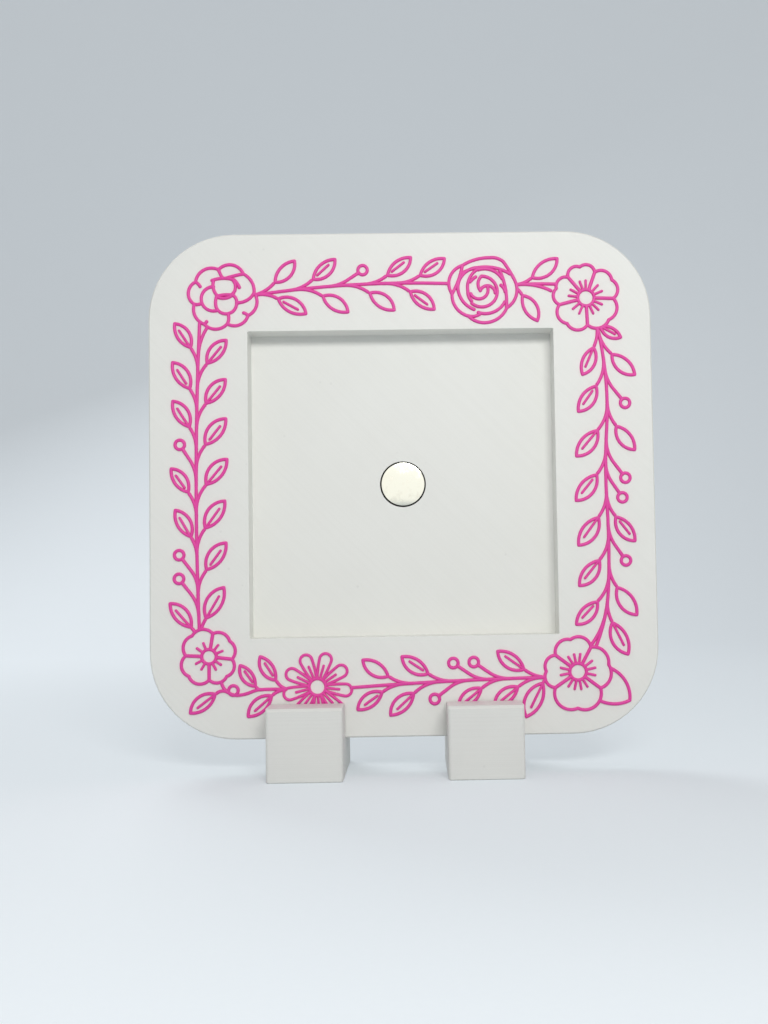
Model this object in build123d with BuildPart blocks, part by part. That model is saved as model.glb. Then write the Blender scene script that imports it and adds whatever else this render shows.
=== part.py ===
from build123d import *
import os
from math import ceil, cos, degrees, radians, sin

os.makedirs("parts", exist_ok=True)

# A square frame for a photo magnet, printed in two colours and standing on two push-on feet.
# Millimetres, +Z up, the front faces -Y. The origin is under the middle of the plate,
# on the surface that the feet stand on.

# Recess for the photo magnet
photo_side = 63.5
photo_clearance = 1.0
recess_depth = 5.5

# Plate
border_width = 20.75
plate_thickness = 8.0
corner_radius = 18.0
rim_chamfer = 0.5

# Disc magnet and its pocket
magnet_diameter = 9.525
magnet_thickness = 1.5875
magnet_edge_chamfer = 0.2
pocket_clearance = 0.14

# Feet
foot_width = 15.4
foot_base_height = 7.5
lip_height = 7.2
front_lip = 8.5
rear_lip = 8.5
foot_clearance = 0.3
foot_corner_radius = 1.2
foot_top_chamfer = 0.8
foot_bottom_chamfer = 0.4
left_foot_place = 20.3
right_foot_place = 16.1

# Raised line-work
ornament_height = 0.4
stroke = 0.7
chord_angle = 26.0
stem_chord_count = 8
stalk_chord_count = 2

# Leaves, twigs and berries
leaf_length = 7.3
broad_side_share = 0.27
slim_side_share = 0.21
vein_start_share = 0.2
vein_end_share = 0.72
twig_bend_radius = 8.0
berry_radius = 1.35
berry_stalk = 2.9
corner_leaf_length = 12.7
corner_leaf_upper_share = 0.34
corner_leaf_lower_share = 0.27
corner_leaf_angle = -30.0

# Flowers
peony_radius = 7.7
rose_radius = 7.65
daisy_radius = 7.5
daisy_eye_radius = 1.4
daisy_line_length = 2.7
daisy_petal_count = 9
daisy_petal_half_angle = 17.5
large_blossom_radius = 7.4
small_blossom_radius = 6.2
eye_share = 0.187
stamen_end_share = 0.53
stamen_width_share = 0.85
notch_share = 0.82
dent_share = 0.95

# Sizes that follow
recess_side = photo_side + photo_clearance
plate_side = recess_side + border_width * 2
half_side = plate_side / 2
pocket_radius = magnet_diameter / 2 + pocket_clearance
slot_width = plate_thickness + ornament_height + foot_clearance * 2
foot_height = foot_base_height + lip_height
face_y = -slot_width / 2 + foot_clearance + ornament_height
plate_middle = foot_base_height + half_side

face_plane = Plane(origin=(0, face_y, plate_middle), x_dir=(1, 0, 0), z_dir=(0, -1, 0))
recess_plane = face_plane.offset(-recess_depth)
pocket_plane = recess_plane.offset(-magnet_thickness)


def on_face(across_share, up_share):
    """Place on the plate's face, as shares of its half side from the middle."""
    return (half_side * across_share, half_side * up_share)


def polar(radius, angle):
    """Point at a radius and an angle in degrees."""
    return (radius * cos(radians(angle)), radius * sin(radians(angle)))


def placed(drawing, place, angle=0.0):
    """Drawing moved to a place and turned about it."""
    return Location((place[0], place[1], 0), (0, 0, angle)) * drawing


# Thin strokes, drawn in straight pieces to keep the many faces few

def count_chords(curve):
    """Number of chords that a line or an arc is drawn in."""
    turn = degrees(curve.length / curve.radius) if curve.geom_type == GeomType.CIRCLE else 0
    return max(1, ceil(turn / chord_angle))


def chord_points(curve):
    """Start of a line or an arc, and the points that part it into chords."""
    count = count_chords(curve)
    return [curve @ (step / count) for step in range(count)]


def face_within(*curves):
    """Face inside a closed chain of lines and arcs."""
    points = [point for curve in curves for point in chord_points(curve)]
    with BuildSketch() as face:
        with BuildLine():
            Polyline(*points, close=True)
        make_face()
    return face.sketch


def ribbon(curve, chord_count):
    """Stroke along a curve."""
    shares = [step / chord_count for step in range(chord_count + 1)]
    aside = {share: (curve % share).rotate(Axis.Z, 90) * (stroke / 2) for share in shares}
    left = [curve @ share + aside[share] for share in shares]
    right = [curve @ share - aside[share] for share in reversed(shares)]
    with BuildSketch() as drawing:
        with BuildLine():
            Polyline(*left, *right, close=True)
        make_face()
    return drawing.sketch


def disc(radius):
    """Round face."""
    with BuildSketch() as face:
        RegularPolygon(radius, ceil(360 / chord_angle))
    return face.sketch


def ring(radius):
    """Circle of one stroke."""
    face, inside = disc(radius), disc(radius - stroke)
    with BuildSketch() as drawing:
        add(face)
        add(inside, mode=Mode.SUBTRACT)
    return drawing.sketch


# Leaves and vines

def leaf_face(length, upper_share, lower_share):
    """Pointed leaf along +X from the origin."""
    middle = length / 2
    return face_within(
        ThreePointArc((0, 0), (middle, length * upper_share), (length, 0)),
        ThreePointArc((length, 0), (middle, -length * lower_share), (0, 0)),
    )


def leaf(length, upper_share, lower_share, kind):
    """Outline of a leaf: plain, with a vein from its base, or with a vein that starts further up."""
    vein_base = length * vein_start_share if kind == "floating" else 0
    vein_length = length * vein_end_share - vein_base
    face = leaf_face(length, upper_share, lower_share)
    with BuildSketch() as drawing:
        add(face)
        offset(amount=-stroke, kind=Kind.INTERSECTION, mode=Mode.SUBTRACT)
        if kind != "plain":
            with Locations((vein_base + vein_length / 2, 0)):
                Rectangle(vein_length, stroke)
    return drawing.sketch


def twig(kind, side, lean, length_share, reach_share):
    """Pieces of a stalk that bends off +X to one side, bare or with a leaf or a berry at its end."""
    bend = twig_bend_radius * reach_share
    turn = radians(lean)
    end = (bend * sin(turn), side * bend * (1 - cos(turn)))
    pieces = [ribbon(CenterArc((0, side * bend), bend, -90 * side, lean * side), stalk_chord_count)]
    if kind == "berry":
        heading = polar(berry_stalk + berry_radius - stroke / 2, lean * side)
        pieces.append(ribbon(PolarLine(end, berry_stalk, lean * side), 1))
        pieces.append(placed(ring(berry_radius), (end[0] + heading[0], end[1] + heading[1])))
    elif kind != "bare":
        upper_share, lower_share = (slim_side_share, broad_side_share)[::side]
        drawing = leaf(leaf_length * length_share, upper_share, lower_share, kind)
        pieces.append(placed(drawing, end, lean * side))
    return pieces


def vine(stem_shares, twigs):
    """Stem bowed through three places of the face and on to any further ones, with its twigs."""
    start, bow, end, *further_ends = [on_face(*place_shares) for place_shares in stem_shares]
    with BuildLine() as stem_line:
        bend = ThreePointArc(start, bow, end)
        for next_end in further_ends:
            bend = TangentArc(bend @ 1, next_end, tangent=bend % 1)
    stem = stem_line.wire()
    drawings = [ribbon(stem, stem_chord_count)]
    for place_share, kind, side, lean, length_share, reach_share in twigs:
        spot, heading = stem @ place_share, stem.tangent_angle_at(place_share)
        for piece in twig(kind, side, lean, length_share, reach_share):
            drawings.append(placed(piece, (spot.X, spot.Y), heading))
    with BuildSketch() as drawing:
        add(drawings)
    return drawing.sketch


# Flowers

def petal_spans(petals):
    """Start, reach share and stamen count of each petal, with the angle that it spans."""
    next_petals = petals[1:] + petals[:1]
    return [(*petal, (next_petal[0] - petal[0]) % 360) for petal, next_petal in zip(petals, next_petals)]


def blossom_rim(radius, petals):
    """Face inside a rim of broad petals, each with a dent in its edge."""
    lobes = []
    for start, reach_share, stamen_count, span in petal_spans(petals):
        reach = radius * reach_share
        notch = polar(radius * notch_share, start)
        dent = polar(reach * dent_share, start + span / 2)
        next_notch = polar(radius * notch_share, start + span)
        lobes.append(ThreePointArc(notch, polar(reach, start + span / 4), dent))
        lobes.append(ThreePointArc(dent, polar(reach, start + span * 3 / 4), next_notch))
    return face_within(*lobes)


def blossom(radius, petals):
    """Blossom of broad petals with an eye and a few stamens on each petal."""
    line_start = radius * eye_share + stroke / 2
    parting = radius * notch_share - stroke / 2 - line_start
    stamen = radius * stamen_end_share - line_start
    rim, inner_rim = blossom_rim(radius, petals), blossom_rim(radius - stroke, petals)
    eye = ring(radius * eye_share + stroke)
    with BuildSketch() as drawing:
        add(rim)
        add(inner_rim, mode=Mode.SUBTRACT)
        for start, reach_share, stamen_count, span in petal_spans(petals):
            with PolarLocations(line_start + parting / 2, 1, start):
                Rectangle(parting, stroke)
            for number in range(stamen_count):
                angle = start + span * (number + 1) / (stamen_count + 1)
                with PolarLocations(line_start + stamen / 2, 1, angle):
                    Rectangle(stamen, stroke * stamen_width_share)
        add(eye)
    return drawing.sketch


def daisy_petal(radius, inset):
    """Petal along +X: two lines from near the middle that meet a round end."""
    slope = sin(radians(daisy_petal_half_angle))
    middle = radius / (1 + slope)
    round_radius = middle * slope
    touch = polar(middle * cos(radians(daisy_petal_half_angle)), daisy_petal_half_angle)
    lower_touch = (touch[0], -touch[1])
    face = face_within(
        Line((0, 0), touch),
        ThreePointArc(touch, (middle + round_radius, 0), lower_touch),
        Line(lower_touch, (0, 0)),
    )
    if inset > 0:
        face = offset(face, amount=-inset, kind=Kind.INTERSECTION)
    return face


def daisy(radius):
    """Daisy of narrow petals, each with a short line in it, round a large eye."""
    line_start = daisy_eye_radius + stroke / 2
    line_length = daisy_line_length + stroke / 2
    petal, petal_inside = daisy_petal(radius, 0), daisy_petal(radius, stroke)
    eye, eye_inside = disc(daisy_eye_radius + stroke), disc(daisy_eye_radius)
    with BuildSketch() as drawing:
        with PolarLocations(0, daisy_petal_count):
            add(petal)
            add(petal_inside, mode=Mode.SUBTRACT)
        with PolarLocations(line_start + line_length / 2, daisy_petal_count):
            Rectangle(line_length, stroke)
        add(eye)
        add(eye_inside, mode=Mode.SUBTRACT)
    return drawing.sketch


def daisy_cover(radius):
    """Face that the daisy covers."""
    petal, eye = daisy_petal(radius, 0), disc(daisy_eye_radius + stroke)
    with BuildSketch() as cover:
        with PolarLocations(0, daisy_petal_count):
            add(petal)
        add(eye)
    return cover.sketch


def folded_rim(radius, rim_shares):
    """Face inside a rim of arcs, each from its start by way of its bow to the next one's start."""
    arcs = []
    for (start, bow), (end, _) in zip(rim_shares, rim_shares[1:] + rim_shares[:1]):
        arcs.append(ThreePointArc(*(Vector(*place) * radius for place in (start, bow, end))))
    return face_within(*arcs)


def folded_flower(radius, rim_shares, fold_shares):
    """Flower with a rim of arcs, and arcs inside it for the folds of its petals."""
    line_radius = radius - stroke / 2
    rim, inner_rim = folded_rim(radius, rim_shares), folded_rim(radius - stroke, rim_shares)
    folds = [ThreePointArc(*(Vector(*place) * line_radius for place in fold)) for fold in fold_shares]
    ribbons = [ribbon(fold, count_chords(fold)) for fold in folds]
    with BuildSketch() as drawing:
        add(rim)
        add(inner_rim, mode=Mode.SUBTRACT)
        add(ribbons)
    return drawing.sketch


# Petals of the blossoms, anticlockwise: angle where it starts, reach as a share, stamens
top_right_petal_shares = [(-2, 1, 2), (70, 1, 2), (130, 0.98, 2), (194, 1.02, 2), (272, 1, 3)]
bottom_right_petal_shares = [(61, 1.02, 3), (143, 0.99, 2), (214, 1.13, 4), (323, 0.98, 3)]
bottom_left_petal_shares = [(-7, 0.96, 2), (80, 1, 2), (177, 1.04, 2), (270, 0.99, 2)]

# Rims of the folded flowers as shares of their radius, anticlockwise from the right: start and bow
# of each arc. Their folds: start, bow and end of each arc, from the outer petals to the heart
peony_rim_shares = [
    ((0.9, 0.1), (0.84, 0.41)), ((0.6, 0.65), (0.23, 0.92)), ((-0.11, 0.78), (-0.54, 0.77)),
    ((-0.77, 0.43), (-0.98, 0.11)), ((-0.81, -0.21), (-0.81, -0.5)), ((-0.53, -0.79), (-0.2, -0.94)),
    ((0.13, -0.79), (0.46, -0.83)), ((0.72, -0.56), (0.98, -0.21)),
]
peony_fold_shares = [
    ((-0.11, 0.78), (-0.06, 0.65), (0.01, 0.53)), ((0.6, 0.65), (0.35, 0.6), (0.1, 0.53)),
    ((0.9, 0.1), (0.72, -0.1), (0.4, -0.18)), ((-0.77, 0.43), (-0.7, 0.38), (-0.64, 0.3)),
    ((-0.81, -0.21), (-0.7, -0.22), (-0.6, -0.19)), ((-0.53, -0.79), (-0.49, -0.76), (-0.46, -0.72)),
    ((0.13, -0.79), (0.17, -0.65), (0.15, -0.5)), ((0.72, -0.56), (0.67, -0.51), (0.6, -0.48)),
    ((-0.26, 0.29), (-0.61, -0.04), (-0.16, -0.4)), ((-0.3, 0.47), (0.02, 0.53), (0.33, 0.48)),
    ((0.33, 0.48), (0.42, 0.38), (0.48, 0.26)), ((0.31, 0.46), (0.37, 0.26), (0.27, 0.06)),
    ((-0.26, 0.44), (-0.26, 0.22), (-0.14, 0.02)), ((-0.17, 0.01), (0.06, 0.05), (0.28, 0.04)),
    ((-0.17, 0), (0.06, -0.05), (0.28, 0.04)), ((0.28, 0.05), (0.37, -0.04), (0.4, -0.2)),
    ((-0.17, 0), (-0.2, -0.12), (-0.2, -0.25)), ((-0.2, -0.25), (0.09, -0.5), (0.4, -0.2)),
]
rose_rim_shares = [
    ((0.95, 0.24), (0.78, 0.57)), ((0.61, 0.83), (0.43, 0.93)), ((0.22, 0.95), (-0.19, 0.9)),
    ((-0.58, 0.73), (-0.93, 0.43)), ((-0.89, -0.1), (-0.78, -0.5)), ((-0.43, -0.75), (-0.21, -0.9)),
    ((0, -0.95), (0.4, -0.85)), ((0.69, -0.52), (0.97, -0.16)),
]
rose_fold_shares = [
    ((-0.58, 0.73), (-0.69, 0.33), (-0.89, -0.1)), ((-0.6, 0.5), (0.08, 0.68), (0.8, 0.47)),
    ((0.51, 0.56), (0.65, 0.1), (0.68, -0.5)), ((0.63, -0.35), (0.35, -0.62), (-0.14, -0.65)),
    ((-0.43, -0.75), (-0.26, -0.76), (-0.1, -0.7)), ((-0.18, 0.66), (-0.57, 0.46), (-0.72, 0.05)),
    ((-0.72, 0.05), (-0.61, -0.27), (-0.26, -0.56)), ((-0.12, 0.63), (-0.38, 0.35), (-0.43, -0.03)),
    ((-0.43, -0.03), (-0.41, -0.18), (-0.33, -0.31)), ((-0.12, 0.6), (0.19, 0.61), (0.57, 0.33)),
    ((-0.32, -0.38), (0.42, 0), (-0.03, 0.41)), ((-0.03, 0.41), (-0.13, 0.22), (-0.07, -0.01)),
    ((-0.07, -0.01), (0.11, 0.13), (0.36, -0.08)), ((0.14, 0.1), (0.05, -0.2), (-0.35, -0.1)),
    ((-0.36, 0.25), (-0.28, 0.33), (-0.2, 0.39)), ((0.65, -0.05), (0.61, 0.05), (0.53, 0.14)),
]

# Flowers: drawing, face covered, place on the plate's face, turn
flowers = {
    "peony": (folded_flower(peony_radius, peony_rim_shares, peony_fold_shares),
              folded_rim(peony_radius, peony_rim_shares), on_face(-0.705, 0.749), 0),
    "rose": (folded_flower(rose_radius, rose_rim_shares, rose_fold_shares),
             folded_rim(rose_radius, rose_rim_shares), on_face(0.33, 0.763), 0),
    "daisy": (daisy(daisy_radius), daisy_cover(daisy_radius), on_face(-0.345, -0.8), -7),
    "blossom_top_right": (blossom(large_blossom_radius, top_right_petal_shares),
                          blossom_rim(large_blossom_radius, top_right_petal_shares),
                          on_face(0.742, 0.728), 0),
    "blossom_bottom_right": (blossom(large_blossom_radius, bottom_right_petal_shares),
                             blossom_rim(large_blossom_radius, bottom_right_petal_shares),
                             on_face(0.679, -0.757), 0),
    "blossom_bottom_left": (blossom(small_blossom_radius, bottom_left_petal_shares),
                            blossom_rim(small_blossom_radius, bottom_left_petal_shares),
                            on_face(-0.768, -0.675), 0),
}
ornaments = {name: placed(drawing, place, turn) for name, (drawing, cover, place, turn) in flowers.items()}
covers = [placed(cover, place, turn) for drawing, cover, place, turn in flowers.values()]

# Twigs in order along each stem: place on the stem as a share, kind, side (1 is the stem's left),
# lean in degrees, length of the leaf and reach of the stalk as shares of the usual ones
vine_top_shares = [
    (0.01, "plain", 1, 39, 0.96, 1), (0.04, "floating", -1, 37, 1.03, 0.8),
    (0.2, "floating", 1, 36, 0.98, 1), (0.23, "plain", -1, 39, 0.98, 1),
    (0.39, "berry", 1, 29, 1, 1), (0.46, "plain", -1, 39, 0.98, 1),
    (0.56, "floating", 1, 35, 0.97, 1), (0.66, "floating", -1, 38, 0.98, 1),
    (0.72, "floating", 1, 34, 0.98, 1),
]
sprig_top_right_shares = [
    (0, "plain", -1, 66, 0.97, 0.44), (0.17, "plain", 1, 33, 1.04, 0.8), (0.27, "bare", -1, 30, 1, 1.6),
]
vine_right_shares = [
    (0, "veined", 1, 48, 0.78, 0.15), (0, "veined", -1, 37, 0.97, 1), (0.034, "plain", 1, 36, 1, 1),
    (0.11, "floating", -1, 43, 1.02, 1), (0.145, "berry", 1, 33, 1, 1),
    (0.245, "plain", 1, 37, 0.98, 1), (0.253, "veined", -1, 40, 1.08, 1), (0.355, "berry", 1, 40, 1, 1),
    (0.428, "berry", 1, 35, 1, 0.9), (0.392, "floating", -1, 37, 1.07, 1),
    (0.517, "veined", -1, 38, 1.1, 1), (0.52, "floating", 1, 36, 1, 1), (0.615, "berry", 1, 33, 1, 1),
    (0.643, "veined", -1, 40, 1.04, 1), (0.73, "plain", 1, 36, 1.08, 1),
    (0.765, "floating", -1, 42, 1, 1), (0.838, "veined", 1, 33, 1.12, 1),
    (0.87, "bare", -1, 30, 1, 1.4),
]
vine_left_shares = [
    (0, "veined", 1, 39, 1.02, 0.8), (0.02, "veined", -1, 33, 1.12, 1), (0.098, "berry", 1, 36, 1, 1),
    (0.177, "berry", 1, 36, 1, 0.9), (0.16, "floating", -1, 38, 1.06, 1),
    (0.278, "veined", 1, 29, 1, 1), (0.29, "veined", -1, 37, 1.07, 1),
    (0.405, "floating", 1, 35, 0.95, 1), (0.42, "veined", -1, 40, 1.05, 1),
    (0.512, "berry", 1, 33, 1, 1), (0.547, "floating", -1, 38, 1.06, 1), (0.61, "veined", 1, 33, 1, 1),
    (0.675, "veined", -1, 38, 1, 1), (0.727, "floating", 1, 34, 1.02, 1),
    (0.8, "veined", -1, 38, 0.98, 1), (0.853, "veined", 1, 35, 0.95, 1), (0.9, "bare", -1, 38, 1, 1),
]
vine_bottom_shares = [
    (0, "veined", 1, 62, 1.18, 0.2), (0.01, "veined", -1, 36, 1.03, 1),
    (0.04, "veined", 1, 37, 0.97, 1), (0.2, "berry", -1, 36, 1, 0.9), (0.22, "veined", 1, 37, 0.95, 1),
    (0.3, "berry", -1, 36, 1, 0.9), (0.4, "berry", 1, 35, 1, 0.9), (0.48, "floating", -1, 36, 1.01, 1),
    (0.545, "veined", 1, 40, 1.02, 1), (0.675, "plain", -1, 36, 0.98, 1),
    (0.72, "floating", 1, 32, 0.97, 1),
]
sprig_bottom_left_shares = [
    (0, "floating", -1, 65, 0.92, 0.38), (0.04, "veined", 1, 42, 1, 0.5),
    (0.31, "floating", -1, 57, 0.85, 0.3), (0.44, "berry", -1, 17, 1, 0.4),
    (0.84, "veined", 1, 64, 1, 0.25),
]

# Vines and sprigs: start, bow, end and any further ends of the stem as shares of the plate's
# half side, and the twigs
vines = {
    "vine_top": ([(-0.6, 0.75), (-0.2, 0.79), (0.22, 0.79)], vine_top_shares),
    "sprig_top_right": ([(0.42, 0.78), (0.53, 0.786), (0.64, 0.783)], sprig_top_right_shares),
    "vine_right": ([(0.78, 0.63), (0.812, 0.43), (0.813, 0.2), (0.808, -0.1), (0.807, -0.42),
                    (0.743, -0.68)], vine_right_shares),
    "vine_left": ([(-0.802, -0.64), (-0.814, 0), (-0.797, 0.64)], vine_left_shares),
    "vine_bottom": ([(0.57, -0.777), (0.2, -0.785), (-0.23, -0.806)], vine_bottom_shares),
    "sprig_bottom_left": ([(-0.45, -0.806), (-0.52, -0.81), (-0.6, -0.82), (-0.74, -0.778)],
                          sprig_bottom_left_shares),
}
leafage = {name: vine(*shares) for name, shares in vines.items()}
lone_leaf = leaf(corner_leaf_length, corner_leaf_upper_share, corner_leaf_lower_share, "plain")
leafage["corner_leaf"] = placed(lone_leaf, flowers["blossom_bottom_right"][2], corner_leaf_angle)

# What the flowers cover is left out of the leafage
for name, drawing in leafage.items():
    with BuildSketch() as visible:
        add(drawing)
        add(covers, mode=Mode.SUBTRACT)
    ornaments[name] = visible.sketch

for name, drawing in ornaments.items():
    with BuildPart() as ornament:
        with BuildSketch(face_plane):
            add(drawing)
        extrude(amount=ornament_height)
    ornament.part.label = name
    export_step(ornament.part, f"parts/{name}.step")

# Plate with the recess for the photo magnet and the pocket for the disc magnet
with BuildPart() as frame_plate:
    with BuildSketch(face_plane):
        RectangleRounded(plate_side, plate_side, corner_radius)
    extrude(amount=-plate_thickness)
    outer_faces = frame_plate.faces().filter_by(Axis.Y)
    chamfer(outer_faces.edges(), rim_chamfer)
    with BuildSketch(face_plane):
        Rectangle(recess_side, recess_side)
    extrude(amount=-recess_depth, mode=Mode.SUBTRACT)
    with Locations(recess_plane):
        Hole(pocket_radius, magnet_thickness)
frame_plate.part.label = "frame_plate"
export_step(frame_plate.part, "parts/frame_plate.step")

# Disc magnet, flush with the floor of the recess
with BuildPart() as disc_magnet:
    with BuildSketch(pocket_plane):
        Circle(magnet_diameter / 2)
    extrude(amount=magnet_thickness)
    chamfer(disc_magnet.edges().filter_by(GeomType.CIRCLE), magnet_edge_chamfer)
disc_magnet.part.label = "disc_magnet"
export_step(disc_magnet.part, "parts/disc_magnet.step")

# Feet: blocks whose slots take the lower edge of the plate
front_y = -slot_width / 2 - front_lip
rear_y = slot_width / 2 + rear_lip
for name, place in (("left_foot", -left_foot_place), ("right_foot", right_foot_place)):
    side_plane = Plane(origin=(place, 0, 0), x_dir=(0, 1, 0), z_dir=(1, 0, 0))
    with BuildPart() as foot:
        with BuildSketch(side_plane):
            with BuildLine():
                Polyline(
                    (front_y, 0),
                    (front_y, foot_height - foot_top_chamfer),
                    (front_y + foot_top_chamfer, foot_height),
                    (-slot_width / 2, foot_height),
                    (-slot_width / 2, foot_base_height),
                    (slot_width / 2, foot_base_height),
                    (slot_width / 2, foot_height),
                    (rear_y - foot_top_chamfer, foot_height),
                    (rear_y, foot_height - foot_top_chamfer),
                    (rear_y, 0),
                    close=True,
                )
            make_face()
        extrude(amount=foot_width / 2, both=True)
        fillet(foot.edges().filter_by(Axis.Z).group_by(SortBy.LENGTH)[-1], foot_corner_radius)
        chamfer(foot.faces().sort_by(Axis.Z)[0].edges(), foot_bottom_chamfer)
    foot.part.label = name
    export_step(foot.part, f"parts/{name}.step")
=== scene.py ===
"""Looks of a magnetic photo frame: a printed plate with pink floral lines, a disc magnet and two feet.

Lengths are in metres and angles in degrees. A point of the line-work is a complex number,
across + up * 1j, on the plate's face, counted from the plate's middle.
"""

import cmath
import logging
import math
from dataclasses import dataclass, field, replace
from enum import Enum
from typing import Iterable

import bmesh
import bpy
from mathutils import Matrix, Vector


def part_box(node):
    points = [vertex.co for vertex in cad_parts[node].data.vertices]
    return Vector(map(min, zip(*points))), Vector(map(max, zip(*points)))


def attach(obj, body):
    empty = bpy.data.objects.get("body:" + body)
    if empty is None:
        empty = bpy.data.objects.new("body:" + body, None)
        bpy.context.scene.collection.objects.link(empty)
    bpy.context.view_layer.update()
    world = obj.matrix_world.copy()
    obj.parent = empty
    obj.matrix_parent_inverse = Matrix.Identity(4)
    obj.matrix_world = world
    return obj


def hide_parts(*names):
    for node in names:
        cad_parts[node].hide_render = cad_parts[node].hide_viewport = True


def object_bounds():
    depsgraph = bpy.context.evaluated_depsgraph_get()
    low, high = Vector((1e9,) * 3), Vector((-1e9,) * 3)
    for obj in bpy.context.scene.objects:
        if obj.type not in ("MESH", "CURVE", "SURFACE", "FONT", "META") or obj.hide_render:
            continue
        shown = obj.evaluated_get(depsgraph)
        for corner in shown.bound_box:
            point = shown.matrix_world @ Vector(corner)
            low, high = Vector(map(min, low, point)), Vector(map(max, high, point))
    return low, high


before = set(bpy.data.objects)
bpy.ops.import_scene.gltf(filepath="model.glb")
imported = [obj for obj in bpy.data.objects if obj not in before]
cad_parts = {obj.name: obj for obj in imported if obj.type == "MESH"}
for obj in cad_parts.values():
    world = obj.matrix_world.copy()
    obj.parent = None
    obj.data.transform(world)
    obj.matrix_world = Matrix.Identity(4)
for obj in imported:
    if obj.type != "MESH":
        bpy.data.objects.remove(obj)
CAD_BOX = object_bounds()

MM = 0.001
LOG = logging.getLogger("photo_frame")

Outline = list[complex]
Range = tuple[float, float]
Triple = tuple[float, float, float]
Colour = Triple
Tree = bpy.types.NodeTree
Socket = bpy.types.NodeSocket

QUARTER_TURN = 90
FULL_TURN = 360

FALLING = (1.0, 0.0)
WITHOUT_DEPTH = (1.0, 0.0, 1.0)
DIAGONAL_ON_FACE = (0.7071, 0.0, 0.7071)
DIAGONAL_FROM_ABOVE = (0.7071, 0.7071, 0.0)


class TwigEnd(Enum):
    """What a twig carries at its end."""

    BARE = "bare"
    BERRY = "berry"
    PLAIN = "plain leaf"
    VEINED = "leaf with a vein from its base"
    FLOATING = "leaf with a vein that starts further up"


class BuildAxis(Enum):
    """Direction in which a part's printed layers are stacked."""

    DEPTH = (0.0, 1.0, 0.0)
    UP = (0.0, 0.0, 1.0)


# Lines on the face


def turned(angle: float) -> complex:
    """Number that turns a point by an angle when it multiplies it."""
    return cmath.rect(1.0, math.radians(angle))


@dataclass(frozen=True)
class Arc:
    """Arc of a circle, with its start and its sweep as angles."""

    middle: complex
    radius: float
    start: float
    sweep: float
    spacing: float = 0.28 * MM

    @classmethod
    def through(cls, first: complex, second: complex, third: complex) -> "Arc":
        """Arc from the first point to the third by way of the second.

        Args:
            first: Start of the arc.
            second: Point between the ends.
            third: End of the arc.

        Returns:
            The arc.
        """
        near, far = second - first, third - first
        twice_area = 2 * (near.conjugate() * far).imag
        middle = first + (far * abs(near) ** 2 - near * abs(far) ** 2) * -1j / twice_area
        first_turn = cmath.phase((second - middle) / (first - middle))
        second_turn = cmath.phase((third - middle) / (second - middle))
        start = math.degrees(cmath.phase(first - middle))
        return cls(middle, abs(first - middle), start, math.degrees(first_turn + second_turn))

    def onward(self, end: complex) -> "Arc":
        """Arc that leaves this one's end smoothly and stops at a point.

        Args:
            end: The point.

        Returns:
            The next arc.
        """
        start, heading = self.at(1), self.heading(1)
        bend = math.degrees(cmath.phase((end - start) / turned(heading)))
        side = math.copysign(1, bend)
        radius = abs(end - start) / (2 * math.sin(math.radians(abs(bend))))
        middle = start + radius * side * 1j * turned(heading)
        return Arc(middle, radius, heading - QUARTER_TURN * side, bend * 2)

    def at(self, share: float) -> complex:
        """Point at a share of the arc's length."""
        return self.middle + self.radius * turned(self.start + self.sweep * share)

    def heading(self, share: float) -> float:
        """Angle of travel at a share of the arc's length."""
        return self.start + self.sweep * share + math.copysign(QUARTER_TURN, self.sweep)

    @property
    def length(self) -> float:
        """Length of the arc."""
        return self.radius * math.radians(abs(self.sweep))

    def points(self) -> Outline:
        """Points along the arc, close enough together to look round."""
        count = max(2, math.ceil(self.length / self.spacing))
        return [self.at(step / count) for step in range(count + 1)]


def join(runs: Iterable[Outline]) -> Outline:
    """Runs of points that meet end to end, as one.

    Args:
        runs: Runs, each of which starts where the one before ends.

    Returns:
        The points in one run.
    """
    joined: Outline = []
    for run in runs:
        joined += run[1:] if joined else run
    return joined


def distinct(points: Outline, least_step: float = 0.001 * MM) -> Outline:
    """Points without those that repeat the one before."""
    steps = zip(points, points[1:])
    return points[:1] + [point for last, point in steps if abs(point - last) > least_step]


@dataclass(frozen=True)
class Stroke:
    """One line of filament laid on the face."""

    points: Outline
    closed: bool = False
    width_share: float = 1.0

    def placed(self, place: complex, angle: float) -> "Stroke":
        """The stroke turned by an angle and moved to a place."""
        turn = turned(angle)
        return replace(self, points=[place + point * turn for point in self.points])


def inside(point: complex, outline: Outline) -> bool:
    """Whether a closed outline goes round a point.

    Args:
        point: The point.
        outline: Corners of the outline.

    Returns:
        True if the point is inside.
    """
    odd = False
    for index, corner in enumerate(outline):
        last = outline[index - 1]
        if (corner.imag > point.imag) != (last.imag > point.imag):
            share = (point.imag - last.imag) / (corner.imag - last.imag)
            if last.real + share * (corner.real - last.real) > point.real:
                odd = not odd
    return odd


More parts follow.
